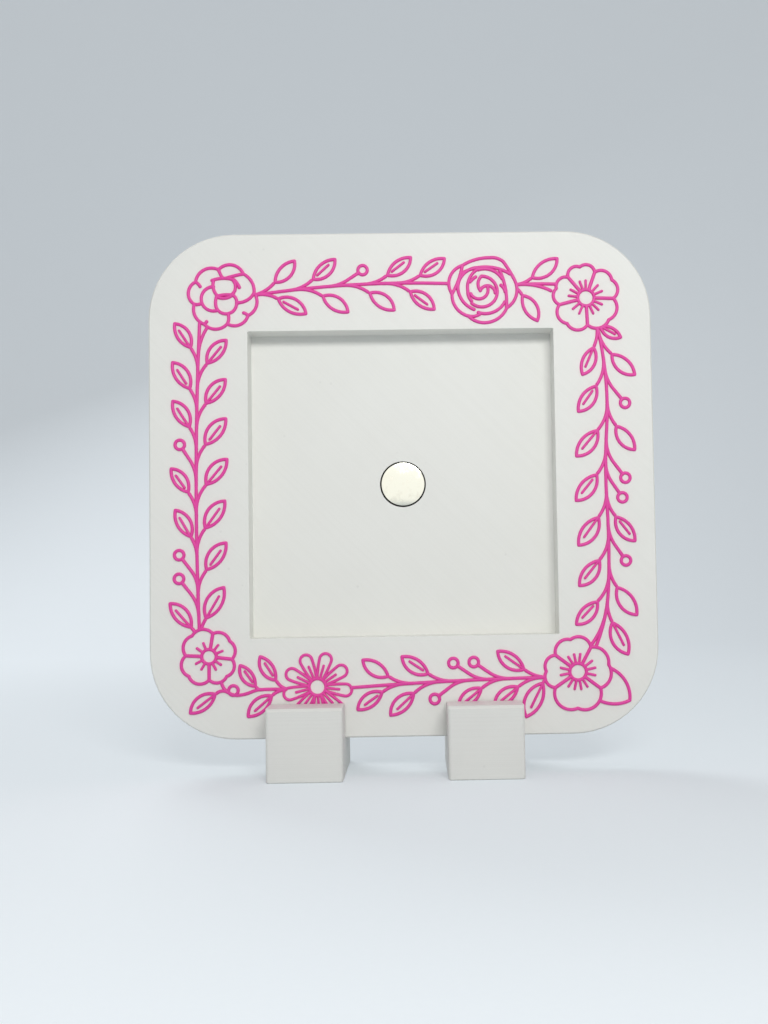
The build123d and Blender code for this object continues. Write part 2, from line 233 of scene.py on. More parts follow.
@dataclass
class Cover:
    """Areas of the face that hide the lines drawn under them."""

    outlines: list[Outline]
    halvings: int = 8
    least_run: float = 0.2 * MM

    def placed(self, place: complex, angle: float) -> "Cover":
        """The areas turned by an angle and moved to a place."""
        turn = turned(angle)
        return Cover([[place + point * turn for point in outline] for outline in self.outlines])

    def hides(self, point: complex) -> bool:
        """Whether a point lies in one of the areas."""
        return any(inside(point, outline) for outline in self.outlines)

    def border(self, shown: complex, hidden: complex) -> complex:
        """Point where the way from a shown to a hidden point meets the areas.

        Args:
            shown: Point outside the areas.
            hidden: Point inside one of them.

        Returns:
            The point on the border.
        """
        for _ in range(self.halvings):
            middle = (shown + hidden) / 2
            if self.hides(middle):
                hidden = middle
            else:
                shown = middle
        return shown

    def trimmed(self, stroke: Stroke) -> list[Stroke]:
        """The stretches of a stroke that the areas leave in view.

        Args:
            stroke: The whole stroke.

        Returns:
            The stroke itself, or the open strokes that are left of it.
        """
        points = stroke.points + stroke.points[:1] if stroke.closed else stroke.points
        hidden = [self.hides(point) for point in points]
        if not any(hidden):
            return [stroke]
        runs: list[Outline] = [[]]
        for index, point in enumerate(points):
            if not hidden[index]:
                if index and hidden[index - 1]:
                    runs.append([self.border(point, points[index - 1])])
                runs[-1].append(point)
            elif index and not hidden[index - 1]:
                runs[-1].append(self.border(points[index - 1], point))
        if stroke.closed and not hidden[0] and len(runs) > 1:
            runs[0] = runs.pop() + runs[0][1:]
        runs = [distinct(run) for run in runs if run]
        shown = (run for run in runs if abs(run[-1] - run[0]) > self.least_run)
        return [replace(stroke, points=run, closed=False) for run in shown]


# Leaves and vines


@dataclass(frozen=True)
class LinePen:
    """Width of the printed lines, and the share of it that thin lines take."""

    width: float = 0.7 * MM
    thin_share: float = 0.75

    @property
    def half(self) -> float:
        """Half of a line's width."""
        return self.width / 2

    def ring(self, outer_radius: float, middle: complex = 0j) -> Stroke:
        """Closed round line with its outer edge at a radius."""
        return Stroke(Arc(middle, outer_radius - self.half, 0, FULL_TURN).points()[:-1], closed=True)

    def straight(self, start: complex, end: complex, width_share: float = 1.0) -> Stroke:
        """Straight line with its round ends' edges at two points."""
        inset = self.half * width_share * (end - start) / abs(end - start)
        return Stroke([start + inset, end - inset], width_share=width_share)


@dataclass(frozen=True)
class Leaf:
    """Pointed leaf that starts at zero and points along the real axis."""

    pen: LinePen
    length: float
    left_share: float
    right_share: float
    end: TwigEnd = TwigEnd.PLAIN
    vein_start_share: float = 0.2
    vein_end_share: float = 0.72

    def strokes(self) -> list[Stroke]:
        """The leaf's edge and its vein.

        Returns:
            The closed edge, and the vein if the leaf has one.
        """
        sides = self.left_share, self.right_share
        # Radius of an arc whose bulge is this share of its chord
        edge_radii = [self.length * (share / 2 + 1 / (8 * share)) for share in sides]
        left_middle = self.length * self.left_share - edge_radii[0]
        right_middle = edge_radii[1] - self.length * self.right_share
        left_radius, right_radius = (radius - self.pen.half for radius in edge_radii)
        level = left_radius**2 - right_radius**2 - left_middle**2 + right_middle**2
        level /= 2 * (right_middle - left_middle)
        reach = math.sqrt(left_radius**2 - (level - left_middle) ** 2)
        middle = self.length / 2
        base, tip = complex(middle - reach, level), complex(middle + reach, level)
        left = Arc.through(base, complex(middle, left_middle + left_radius), tip)
        right = Arc.through(tip, complex(middle, right_middle - right_radius), base)
        strokes = [Stroke(left.points()[:-1] + right.points()[:-1], closed=True)]
        if self.end is not TwigEnd.PLAIN:
            vein_base = self.length * self.vein_start_share if self.end is TwigEnd.FLOATING else 0.0
            vein_end = self.length * self.vein_end_share
            strokes.append(self.pen.straight(vein_base + 0j, vein_end + 0j, self.pen.thin_share))
        return strokes


@dataclass(frozen=True)
class TwigSizes:
    """Sizes that the twigs share."""

    pen: LinePen = LinePen()
    leaf_length: float = 7.3 * MM
    broad_side_share: float = 0.27
    slim_side_share: float = 0.21
    bend_radius: float = 8.0 * MM
    berry_radius: float = 1.35 * MM
    berry_stalk: float = 2.9 * MM


@dataclass(frozen=True)
class Twig:
    """Twig that leaves a stem, with its place, its length and its reach as shares."""

    place_share: float
    end: TwigEnd
    side: int
    lean: float
    length_share: float
    reach_share: float

    def strokes(self, sizes: TwigSizes) -> list[Stroke]:
        """The twig's lines, as it leaves a stem that runs along the real axis from zero.

        Args:
            sizes: Sizes that the twigs share.

        Returns:
            The stalk, and the lines of the leaf or berry at its end.
        """
        bend = sizes.bend_radius * self.reach_share
        stalk = Arc(1j * self.side * bend, bend, -QUARTER_TURN * self.side, self.lean * self.side)
        tip, heading = stalk.at(1), self.lean * self.side
        strokes = [Stroke(stalk.points())]
        if self.end is TwigEnd.BERRY:
            stalk_end = tip + turned(heading) * sizes.berry_stalk * self.length_share
            berry = stalk_end + turned(heading) * (sizes.berry_radius - sizes.pen.half)
            strokes = [Stroke(stalk.points() + [stalk_end])]
            strokes.append(sizes.pen.ring(sizes.berry_radius, berry))
        elif self.end is not TwigEnd.BARE:
            sides = (sizes.slim_side_share, sizes.broad_side_share)[:: self.side]
            leaf = Leaf(sizes.pen, sizes.leaf_length * self.length_share, *sides, self.end)
            strokes += [stroke.placed(tip, heading) for stroke in leaf.strokes()]
        return strokes


@dataclass(frozen=True)
class Vine:
    """Bowed stem with twigs.

    The stem's start, bow and end are shares of the plate's half side, and so are further ends,
    each reached by an arc that goes on smoothly.
    """

    stem_shares: tuple[complex, ...]
    twigs: list[Twig]
    sizes: TwigSizes = TwigSizes()

    def stems(self, half_side: float) -> list[Arc]:
        """Arcs of the stem.

        Args:
            half_side: Half of the plate's side.

        Returns:
            The arcs from the stem's start to its end.
        """
        places = [share * half_side for share in self.stem_shares]
        stems = [Arc.through(*places[:3])]
        for place in places[3:]:
            stems.append(stems[-1].onward(place))
        return stems

    @staticmethod
    def spot(stems: list[Arc], share: float) -> tuple[complex, float]:
        """Point and angle of travel at a share of the whole stem's length.

        Args:
            stems: Arcs of the stem.
            share: The share.

        Returns:
            The point and the angle.
        """
        left = share * sum(stem.length for stem in stems)
        for stem in stems:
            if left <= stem.length:
                break
            left -= stem.length
        return stem.at(left / stem.length), stem.heading(left / stem.length)

    def strokes(self, half_side: float) -> list[Stroke]:
        """The stem and its twigs.

        Args:
            half_side: Half of the plate's side.

        Returns:
            The vine's lines, with what flowers hide still in them.
        """
        stems = self.stems(half_side)
        strokes = [Stroke(join(stem.points() for stem in stems))]
        for twig in self.twigs:
            spot, heading = self.spot(stems, twig.place_share)
            strokes += [stroke.placed(spot, heading) for stroke in twig.strokes(self.sizes)]
        return strokes


# Flowers


@dataclass(frozen=True)
class Petal:
    """Petal of a blossom, from the angle at which it starts to the next one's."""

    start: float
    reach_share: float
    stamen_count: int


@dataclass(frozen=True)
class Blossom:
    """Blossom of broad petals with an eye and a few stamens on each petal."""

    radius: float
    petals: tuple[Petal, ...]
    eye_share: float = 0.187
    stamen_end_share: float = 0.53
    notch_share: float = 0.82
    dent_share: float = 0.95
    bow_shares: Range = (0.25, 0.75)
    pen: LinePen = LinePen()

    def spans(self) -> list[tuple[Petal, float]]:
        """Each petal with the angle that it spans."""
        pairs = zip(self.petals, self.petals[1:] + self.petals[:1])
        return [(petal, (after.start - petal.start) % FULL_TURN) for petal, after in pairs]

    def rim(self) -> Outline:
        """Middle line of the rim round the petals.

        Returns:
            Points of the closed line, without a repeat of the first.
        """
        radius = self.radius - self.pen.half
        points: Outline = []
        for petal, span in self.spans():
            reach = radius * petal.reach_share
            notch = radius * self.notch_share * turned(petal.start)
            bows = [reach * turned(petal.start + span * share) for share in self.bow_shares]
            dent = reach * self.dent_share * turned(petal.start + span / 2)
            points += Arc.through(notch, bows[0], dent).points()[:-1]
            points += Arc.through(dent, bows[1], notch * turned(span)).points()[:-1]
        return points

    def strokes(self) -> list[Stroke]:
        """The rim, the eye, the partings between petals and the stamens.

        Returns:
            The strokes of the flower.
        """
        pen = self.pen
        notch = (self.radius - pen.half) * self.notch_share + pen.half
        eye_radius, stamen_end = self.radius * self.eye_share, self.radius * self.stamen_end_share
        strokes = [Stroke(self.rim(), closed=True), pen.ring(eye_radius + pen.width)]
        for petal, span in self.spans():
            aim = turned(petal.start)
            strokes.append(pen.straight(eye_radius * aim, notch * aim))
            for stamen in range(petal.stamen_count):
                aim = turned(petal.start + span * (stamen + 1) / (petal.stamen_count + 1))
                strokes.append(pen.straight(eye_radius * aim, stamen_end * aim, pen.thin_share))
        return strokes

    def cover(self) -> Cover:
        """The area inside the rim."""
        return Cover([self.rim()])


@dataclass(frozen=True)
class Daisy:
    """Daisy of narrow petals, each with a short line in it, round a large eye."""

    radius: float = 7.5 * MM
    petal_count: int = 9
    petal_half_width: float = 1.6 * MM
    petal_slope: float = 9.5
    petal_bow: float = 0.07 * MM
    petal_width_share: float = 0.88
    neck_angle: float = 19.5
    eye_radius: float = 1.4 * MM
    line_length: float = 2.7 * MM
    pen: LinePen = LinePen()

    def petal(self) -> Outline:
        """Middle line of the petal along the real axis, from the eye round the tip and back.

        Returns:
            Points of the line, which is open at the eye.
        """
        tip_start = QUARTER_TURN + self.petal_slope
        tip_middle = self.radius - self.petal_half_width + 0j
        tip = Arc(tip_middle, self.petal_half_width - self.pen.half, tip_start, -2 * tip_start).points()
        neck = (self.eye_radius + self.pen.half) * turned(self.neck_angle)
        side = Arc.through(neck, (neck + tip[0]) / 2 + self.petal_bow * 1j, tip[0]).points()
        return join((side, tip, [point.conjugate() for point in reversed(side)]))

    def strokes(self) -> list[Stroke]:
        """The petals, their inner lines and the eye.

        Returns:
            The strokes of the flower.
        """
        outer_eye = self.eye_radius + self.pen.width
        strokes = [self.pen.ring(outer_eye)]
        line_end = outer_eye + self.line_length
        inner_line = self.pen.straight(self.eye_radius + 0j, line_end + 0j, self.pen.thin_share)
        petal = Stroke(self.petal(), width_share=self.petal_width_share)
        for step in range(self.petal_count):
            angle = step * FULL_TURN / self.petal_count
            strokes += [petal.placed(0j, angle), inner_line.placed(0j, angle)]
        return strokes

    def cover(self) -> Cover:
        """The areas of the petals and the eye.

        Returns:
            The areas, each up to the middle of its line.
        """
        eye = Arc(0j, self.eye_radius + self.pen.half, 0, FULL_TURN).points()
        petal = Cover([[0j, *self.petal()]])
        angles = (step * FULL_TURN / self.petal_count for step in range(self.petal_count))
        return Cover([eye] + [petal.placed(0j, angle).outlines[0] for angle in angles])


@dataclass(frozen=True)
class FoldedFlower:
    """Flower drawn as a rim of arcs with folds inside it, in shares of its radius.

    A row of the rim is the start and the bow of an arc that ends at the next row's start.
    A row of the folds is the start, the bow and the end of an arc.
    """

    radius: float
    rim_shares: tuple[tuple[complex, complex], ...]
    fold_shares: tuple[tuple[complex, complex, complex], ...]
    pen: LinePen = LinePen()

    def rim(self) -> Outline:
        """Middle line of the rim.

        Returns:
            Points of the closed line, without a repeat of the first.
        """
        radius = self.radius - self.pen.half
        ends = self.rim_shares[1:] + self.rim_shares[:1]
        arcs = [(start, bow, end) for (start, bow), (end, _) in zip(self.rim_shares, ends)]
        return join(Arc.through(*(share * radius for share in arc)).points() for arc in arcs)[:-1]

    def strokes(self) -> list[Stroke]:
        """The rim and the folds.

        Returns:
            The strokes of the flower.
        """
        radius = self.radius - self.pen.half
        folds = [Arc.through(*(share * radius for share in fold)) for fold in self.fold_shares]
        return [Stroke(self.rim(), closed=True)] + [Stroke(fold.points()) for fold in folds]

    def cover(self) -> Cover:
        """The area inside the rim."""
        return Cover([self.rim()])


# Meshes


@dataclass
class MeshBuild:
    """Vertices and faces of a mesh while it grows."""

    vertices: list[Vector] = field(default_factory=list)
    faces: list[tuple[int, ...]] = field(default_factory=list)

    def loop(self, points: Iterable[Vector]) -> list[int]:
        """Adds a ring of vertices and gives their numbers.

        Args:
            points: Places of the vertices.

        Returns:
            Numbers of the vertices in the mesh.
        """
        start = len(self.vertices)
        self.vertices.extend(points)
        return list(range(start, len(self.vertices)))

    def bridge(self, first: list[int], second: list[int], closed: bool = True) -> None:
        """Joins two rings of as many vertices by a band of faces.

        Args:
            first: Vertices of one ring.
            second: Vertices of the other ring.
            closed: Whether the band goes all the way round.
        """
        for index in range(len(first) - (not closed)):
            after = (index + 1) % len(first)
            self.faces.append((first[index], first[after], second[after], second[index]))

    def stack(self, rings: list[list[Vector]]) -> None:
        """Joins rings in order and closes both ends.

        Args:
            rings: Rings of as many points, from one end to the other.
        """
        loops = [self.loop(ring) for ring in rings]
        for first, second in zip(loops, loops[1:]):
            self.bridge(first, second)
        self.faces.append(tuple(loops[0]))
        self.faces.append(tuple(loops[-1]))

    def finish(self, name: str, sharp_angle: float = 32.0) -> bpy.types.Object:
        """Turns the build into an object.

        Args:
            name: Name of the piece.
            sharp_angle: Angle from which an edge between two faces looks sharp.

        Returns:
            The object, linked to the scene.
        """
        mesh = bpy.data.meshes.new(name)
        mesh.from_pydata([tuple(vertex) for vertex in self.vertices], [], self.faces)
        work = bmesh.new()
        work.from_mesh(mesh)
        bmesh.ops.recalc_face_normals(work, faces=work.faces)
        work.to_mesh(mesh)
        work.free()
        mesh.polygons.foreach_set("use_smooth", [True] * len(mesh.polygons))
        mesh.set_sharp_from_angle(angle=math.radians(sharp_angle))
        piece = bpy.data.objects.new(name, mesh)
        bpy.context.scene.collection.objects.link(piece)
        return piece


def soften(
    piece: bpy.types.Object, width: float, segments: int = 3, sharp_angle: float = 35.0
) -> None:
    """Rounds every sharp edge of a piece a little.

    Args:
        piece: The piece.
        width: Width of the rounding.
        segments: Faces across the rounding.
        sharp_angle: Angle from which an edge between two faces is sharp.
    """
    bevel = piece.modifiers.new("soft_edges", "BEVEL")
    bevel.width = width
    bevel.segments = segments
    bevel.limit_method = "ANGLE"
    bevel.angle_limit = math.radians(sharp_angle)
    bevel.harden_normals = True


@dataclass
class Beads:
    """Mesh of printed lines: flat-topped beads with round ends that stand on the plate's face."""

    pen: LinePen
    face_y: float
    height: float
    middle_z: float
    sink: float = 0.03 * MM
    side_power: float = 2.8
    across_steps: int = 8
    cap_angles: tuple[float, ...] = (62.0, 36.0, 14.0)
    corner_angle: float = 24.0
    end_swell_share: float = 0.07
    swell_length: float = 0.5 * MM
    build: MeshBuild = field(default_factory=MeshBuild)

    def row(self, point: complex, aim: complex, half: float, cap: float = 0.0) -> list[Vector]:
        """Cross-section of a bead.

        Args:
            point: Middle of the section.
            aim: Direction of travel.
            half: Half of the bead's width.
            cap: How far round its end the section lies, as an angle.

        Returns:
            The section's points from one side to the other.
        """
        ahead, squeeze = math.sin(math.radians(cap)), math.cos(math.radians(cap))
        row = []
        for step in range(self.across_steps + 1):
            aside = -math.cos(math.pi * step / self.across_steps)
            from_middle = min(1.0, math.hypot(ahead, aside * squeeze))
            rise = (1 - from_middle**self.side_power) ** (1 / self.side_power)
            spot = point + aim * complex(ahead, aside * squeeze) * half
            depth = self.sink - rise * (self.height + self.sink)
            row.append(Vector((spot.real, self.face_y + depth, self.middle_z + spot.imag)))
        return row

    def tips(self, points: Outline, aim: complex, half: float) -> list[list[Vector]]:
        """Sections round the end of a bead, from its tip inwards."""
        return [self.row(points[0], aim, half, cap) for cap in self.cap_angles]

    def aims(self, before: complex, after: complex) -> list[complex]:
        """Directions of the sections at a point, with a fan of them at a corner.

        Args:
            before: Direction in which the line comes.
            after: Direction in which it leaves.

        Returns:
            One direction, or several that turn from the first to the second.
        """
        turn = math.degrees(cmath.phase(after / before))
        if abs(turn) < self.corner_angle:
            return [before * turned(turn / 2)]
        count = math.ceil(abs(turn) / self.corner_angle)
        return [before * turned(turn * step / count) for step in range(count + 1)]

    def add(self, stroke: Stroke) -> None:
        """Adds the bead of a stroke.

        Args:
            stroke: The stroke.
        """
        points, half = stroke.points, self.pen.half * stroke.width_share
        steps = [after - before for before, after in zip(points, points[1:])]
        if stroke.closed:
            steps.append(points[0] - points[-1])
        ways = [step / abs(step) for step in steps]
        travelled = [0.0]
        for step in steps:
            travelled.append(travelled[-1] + abs(step))
        rows = []
        for index, point in enumerate(points):
            before = ways[index - 1] if index or stroke.closed else ways[0]
            after = ways[index] if index < len(ways) else ways[-1]
            to_end = min(travelled[index], travelled[-1] - travelled[index])
            swell = self.end_swell_share * math.exp(-to_end / self.swell_length)
            row_half = half if stroke.closed else half * (1 + swell)
            rows += [self.row(point, aim, row_half) for aim in self.aims(before, after)]
        if stroke.closed:
            loops = [self.build.loop(row) for row in rows]
            loops.append(loops[0])
        else:
            end_half = half * (1 + self.end_swell_share)
            head = self.tips(points, -ways[0], end_half)
            tail = self.tips(points[::-1], ways[-1], end_half)
            loops = [self.build.loop(row[::-1]) for row in head]
            loops += [self.build.loop(row) for row in rows + tail[::-1]]
            self.close(loops[0], points[0] - ways[0] * end_half)
            self.close(loops[-1], points[-1] + ways[-1] * end_half)
        for first, second in zip(loops, loops[1:]):
            self.build.bridge(first, second)

    def close(self, loop: list[int], tip: complex) -> None:
        """Closes the end of a bead with triangles to its tip.

        Args:
            loop: Vertices of the last section.
            tip: Place of the tip.
        """
        spot = Vector((tip.real, self.face_y + self.sink, self.middle_z + tip.imag))
        centre = self.build.loop([spot])[0]
        for index, number in enumerate(loop):
            self.build.faces.append((number, loop[(index + 1) % len(loop)], centre))


# Shader nodes

FLOAT, VECTOR = "NodeSocketFloat", "NodeSocketVector"

# Numbers of a Mix node's inputs: its share, its two values and its two colours
MIX_SHARE, FIRST_VALUE, SECOND_VALUE, FIRST_COLOUR, SECOND_COLOUR = 0, 2, 3, 6, 7
VALUE_RESULT, COLOUR_RESULT = 0, 2


def add_node(
    tree: Tree, kind: str, inputs: dict[str | int, object] | None = None, **settings: object
) -> bpy.types.Node:
    """Adds a node, sets its options, and sets or links its inputs.

    Args:
        tree: Tree of a material, a group or the world.
        kind: Node type.
        inputs: Value or output socket for each input, by name or number.
        **settings: Options of the node.

    Returns:
        The node.
    """
    node = tree.nodes.new(kind)
    for name, value in settings.items():
        setattr(node, name, value)
    for key, value in (inputs or {}).items():
        if isinstance(value, Socket):
            tree.links.new(value, node.inputs[key])
        else:
            node.inputs[key].default_value = value
    return node


def calculate(tree: Tree, operation: str, *values: object) -> Socket:
    """Output of a Math node on up to three values or sockets."""
    return add_node(tree, "ShaderNodeMath", dict(enumerate(values)), operation=operation).outputs[0]


def combine(tree: Tree, operation: str, *vectors: object) -> bpy.types.NodeOutputs:
    """Outputs of a Vector Math node on up to two vectors or sockets."""
    return add_node(tree, "ShaderNodeVectorMath", dict(enumerate(vectors)), operation=operation).outputs


def along_axis(tree: Tree, value: Socket, axis: object) -> Socket:
    """Output that says how far a vector reaches along an axis."""
    return combine(tree, "DOT_PRODUCT", value, axis)["Value"]


def from_axis(tree: Tree, place: Socket, centre: Vector) -> Socket:
    """Output that gives a place's distance from the line through a centre along the depth."""
    offset = combine(tree, "SUBTRACT", place, centre)[0]
    return combine(tree, "LENGTH", combine(tree, "MULTIPLY", offset, WITHOUT_DEPTH)[0])["Value"]


def spread(tree: Tree, value: Socket, given: Range, wanted: Range = (0.0, 1.0)) -> Socket:
    """Output that takes a value from one range to another, and stops at its ends."""
    ends = zip(("From Min", "From Max", "To Min", "To Max"), (*given, *wanted))
    return add_node(tree, "ShaderNodeMapRange", {"Value": value, **dict(ends)}).outputs["Result"]


def mix_values(tree: Tree, share: Socket, first: Socket, second: Socket) -> Socket:
    """Value between two values."""
    inputs = {MIX_SHARE: share, FIRST_VALUE: first, SECOND_VALUE: second}
    return add_node(tree, "ShaderNodeMix", inputs).outputs[VALUE_RESULT]


def mix_colours(tree: Tree, share: Socket, first: Socket | Colour, second: Colour) -> Socket:
    """Colour between two colours.

    Args:
        tree: Tree of a material.
        share: Output that gives the share of the second colour.
        first: First colour, or the output that gives it.
        second: Second colour.

    Returns:
        Output that gives the colour.
    """
    first = (*first, 1.0) if isinstance(first, tuple) else first
    inputs = {MIX_SHARE: share, FIRST_COLOUR: first, SECOND_COLOUR: (*second, 1.0)}
    return add_node(tree, "ShaderNodeMix", inputs, data_type="RGBA").outputs[COLOUR_RESULT]


def noise(tree: Tree, place: Socket, scale: float, detail: float) -> Socket:
    """Output of a noise texture."""
    inputs = {"Vector": place, "Scale": scale, "Detail": detail}
    return add_node(tree, "ShaderNodeTexNoise", inputs).outputs["Fac"]


def bumped(tree: Tree, height: Socket) -> Socket:
    """Normal of a surface that is raised by a height in metres."""
    inputs = {"Height": height, "Distance": 1.0, "Strength": 1.0}
    return add_node(tree, "ShaderNodeBump", inputs).outputs["Normal"]


def new_material(name: str) -> tuple[bpy.types.Material, Tree]:
    """Material with nothing in its node tree, and the tree.

    Args:
        name: Name of the material.

    Returns:
        The material and its tree.
    """
    material = bpy.data.materials.new(name)
    material.use_nodes = True
    material.node_tree.nodes.clear()
    return material, material.node_tree


def add_surface(tree: Tree, inputs: dict[str, object]) -> None:
    """Adds a material's shader and its output."""
    shader = add_node(tree, "ShaderNodeBsdfPrincipled", inputs)
    add_node(tree, "ShaderNodeOutputMaterial", {"Surface": shader.outputs[0]})


# Shader node groups


def new_group(name: str, inputs: dict[str, str], outputs: dict[str, str]) -> Tree:
    """Empty shader group with its sockets.

    Args:
        name: Name of the group.
        inputs: Socket type of each input by name.
        outputs: Socket type of each output by name.

    Returns:
        The group's tree.
    """
    group = bpy.data.node_groups.new(name, "ShaderNodeTree")
    for in_out, sockets in (("INPUT", inputs), ("OUTPUT", outputs)):
        for label, kind in sockets.items():
            group.interface.new_socket(name=label, in_out=in_out, socket_type=kind)
    return group


@dataclass(frozen=True)
class PrintLines:
    """Side by side lines of a printed surface, each of them a little higher or lower."""

    drift: float = 0.35
    drift_scale: float = 90.0
    drift_detail: float = 2.0
    flatness: float = 0.6
    step: float = 0.35

    def group(self) -> Tree:
        """Builds the group.

        Returns:
            Group with the height of the lines, and a tone of each line's own.
        """
        inputs = {"Place": VECTOR, "Across": VECTOR, "Pitch": FLOAT}
        group = new_group("print_lines", inputs, {"Height": FLOAT, "Tone": FLOAT})
        given = add_node(group, "NodeGroupInput").outputs
        drift = noise(group, given["Place"], self.drift_scale, self.drift_detail)
        across = along_axis(group, given["Place"], given["Across"])
        phase = calculate(group, "DIVIDE", across, given["Pitch"])
        phase = calculate(group, "MULTIPLY_ADD", drift, self.drift, phase)
        wave = calculate(group, "SINE", calculate(group, "MULTIPLY", phase, math.pi))
        ridge = calculate(group, "POWER", calculate(group, "ABSOLUTE", wave), self.flatness)
        number = {"W": calculate(group, "FLOOR", phase)}
        tone = add_node(group, "ShaderNodeTexWhiteNoise", number, noise_dimensions="1D").outputs["Value"]
        height = calculate(group, "MULTIPLY_ADD", tone, self.step, ridge)
        add_node(group, "NodeGroupOutput", {"Height": height, "Tone": tone})
        return group


@dataclass(frozen=True)
class PlasticGrain:
    """Uneven look of printed plastic at three scales."""

    cloud_scale: float = 55.0
    cloud_detail: float = 3.0
    grain_scale: float = 5200.0
    grain_detail: float = 4.0
    speck_scale: float = 260.0
    speck_rim: Range = (0.05, 0.09)
    specked_clouds: Range = (0.52, 0.6)

    def group(self) -> Tree:
        """Builds the group.

        Returns:
            Group with broad clouds, fine grain and rare specks.
        """
        outputs = {"Clouds": FLOAT, "Grain": FLOAT, "Specks": FLOAT}
        group = new_group("plastic_grain", {"Place": VECTOR}, outputs)
        place = add_node(group, "NodeGroupInput").outputs["Place"]
        clouds = noise(group, place, self.cloud_scale, self.cloud_detail)
        grain = noise(group, place, self.grain_scale, self.grain_detail)
        dots = {"Vector": place, "Scale": self.speck_scale, "Randomness": 1.0}
        distance = add_node(group, "ShaderNodeTexVoronoi", dots).outputs["Distance"]
        specks = spread(group, distance, self.speck_rim, FALLING)
        specks = calculate(group, "MULTIPLY", specks, spread(group, clouds, self.specked_clouds))
        add_node(group, "NodeGroupOutput", {"Clouds": clouds, "Grain": grain, "Specks": specks})
        return group


class Effects:
    """Shader groups that the materials share, built once."""

    def __init__(self) -> None:
        """Builds the groups."""
        self.lines = PrintLines().group()
        self.grain = PlasticGrain().group()

    @staticmethod
    def use(tree: Tree, group: Tree, **inputs: object) -> bpy.types.NodeOutputs:
        """Places a group in a tree and gives its outputs."""
        return add_node(tree, "ShaderNodeGroup", inputs, node_tree=group).outputs


# Finishes


@dataclass(frozen=True)
class PrintedPlastic:
    """Plastic printed in layers, with lines that run across its flat faces and round its walls.

    A gap radius paints dark shade into the narrow gap round a disc that is pressed into the
    plastic, as far back as the gap goes.
    """

    name: str
    colour: Colour
    shade: Colour
    build_axis: BuildAxis
    raster_axis: Triple
    layer_pitch: float = 0.2 * MM
    raster_pitch: float = 0.42 * MM
    layer_depth: float = 0.018 * MM
    raster_depth: float = 0.003 * MM
    grain_depth: float = 0.004 * MM
    flat_facing: Range = (0.8, 0.95)
    line_tone_share: float = 0.25
    tones: Range = (0.3, 0.75)
    shade_share: float = 0.35
    speck_share: float = 0.12
    speck_darkness: float = 0.45
    grain_tones: Range = (0.3, 0.7)
    roughness: Range = (0.44, 0.6)
    gap_centre: Triple = (0.0, 0.0, 0.0)
    gap_radius: float = 0.0
    gap_back: float = 0.0
    gap_blur: float = 0.03 * MM
    # Colour of the painted shade in the narrow gap round the disc
    painted_gap_shade_colour: Colour = (0.05, 0.045, 0.04)

    def material(self, effects: Effects) -> bpy.types.Material:
        """Builds the material.

        Args:
            effects: Shader groups that the materials share.

        Returns:
            The material.
        """
        material, tree = new_material(self.name)
        given = add_node(tree, "ShaderNodeTexCoord").outputs
        place, stacking = given["Object"], self.build_axis.value
        facing = calculate(tree, "ABSOLUTE", along_axis(tree, given["Normal"], stacking))
        flat = spread(tree, facing, self.flat_facing)
        walls = effects.use(tree, effects.lines, Place=place, Across=stacking, Pitch=self.layer_pitch)
        raster = {"Across": self.raster_axis, "Pitch": self.raster_pitch}
        faces = effects.use(tree, effects.lines, Place=place, **raster)
        grain = effects.use(tree, effects.grain, Place=place)
        wall_height = calculate(tree, "MULTIPLY", walls["Height"], self.layer_depth)
        face_height = calculate(tree, "MULTIPLY", faces["Height"], self.raster_depth)
        lines = mix_values(tree, flat, wall_height, face_height)
        height = calculate(tree, "MULTIPLY_ADD", grain["Grain"], self.grain_depth, lines)
        clouds = calculate(tree, "MULTIPLY", grain["Clouds"], 1 - self.line_tone_share)
        line_tone = mix_values(tree, flat, walls["Tone"], faces["Tone"])
        tone = calculate(tree, "MULTIPLY_ADD", line_tone, self.line_tone_share, clouds)
        dark = calculate(tree, "MULTIPLY", spread(tree, tone, self.tones), self.shade_share)
        colour = mix_colours(tree, dark, self.colour, self.shade)
        specks = calculate(tree, "MULTIPLY", grain["Specks"], self.speck_share)
        speck_colour = tuple(part * self.speck_darkness for part in self.colour)
        colour = mix_colours(tree, specks, colour, speck_colour)
        if self.gap_radius:
            # Painted shade: the pocket's walls round the disc are darkened in the colour, standing in
            # for the shade of the narrow gap
            colour = mix_colours(tree, self.gap(tree, place), colour, self.painted_gap_shade_colour)
        roughness = spread(tree, grain["Grain"], self.grain_tones, self.roughness)
        inputs = {"Base Color": colour, "Roughness": roughness, "Normal": bumped(tree, height)}
        add_surface(tree, inputs)
        return material

    def gap(self, tree: Tree, place: Socket) -> Socket:
        """Mask of the painted shade in the gap round the disc.

        Args:
            tree: The material's tree.
            place: Output that gives the place on the surface.

        Returns:
            Output that is 1 in the gap and 0 outside it.
        """
        across, back = self.gap_radius, self.gap_back
        aside = from_axis(tree, place, Vector(self.gap_centre))
        within = spread(tree, aside, (across, across + self.gap_blur), FALLING)
        depth = along_axis(tree, place, BuildAxis.DEPTH.value)
        before = spread(tree, depth, (back, back + self.gap_blur), FALLING)
        return calculate(tree, "MULTIPLY", within, before)


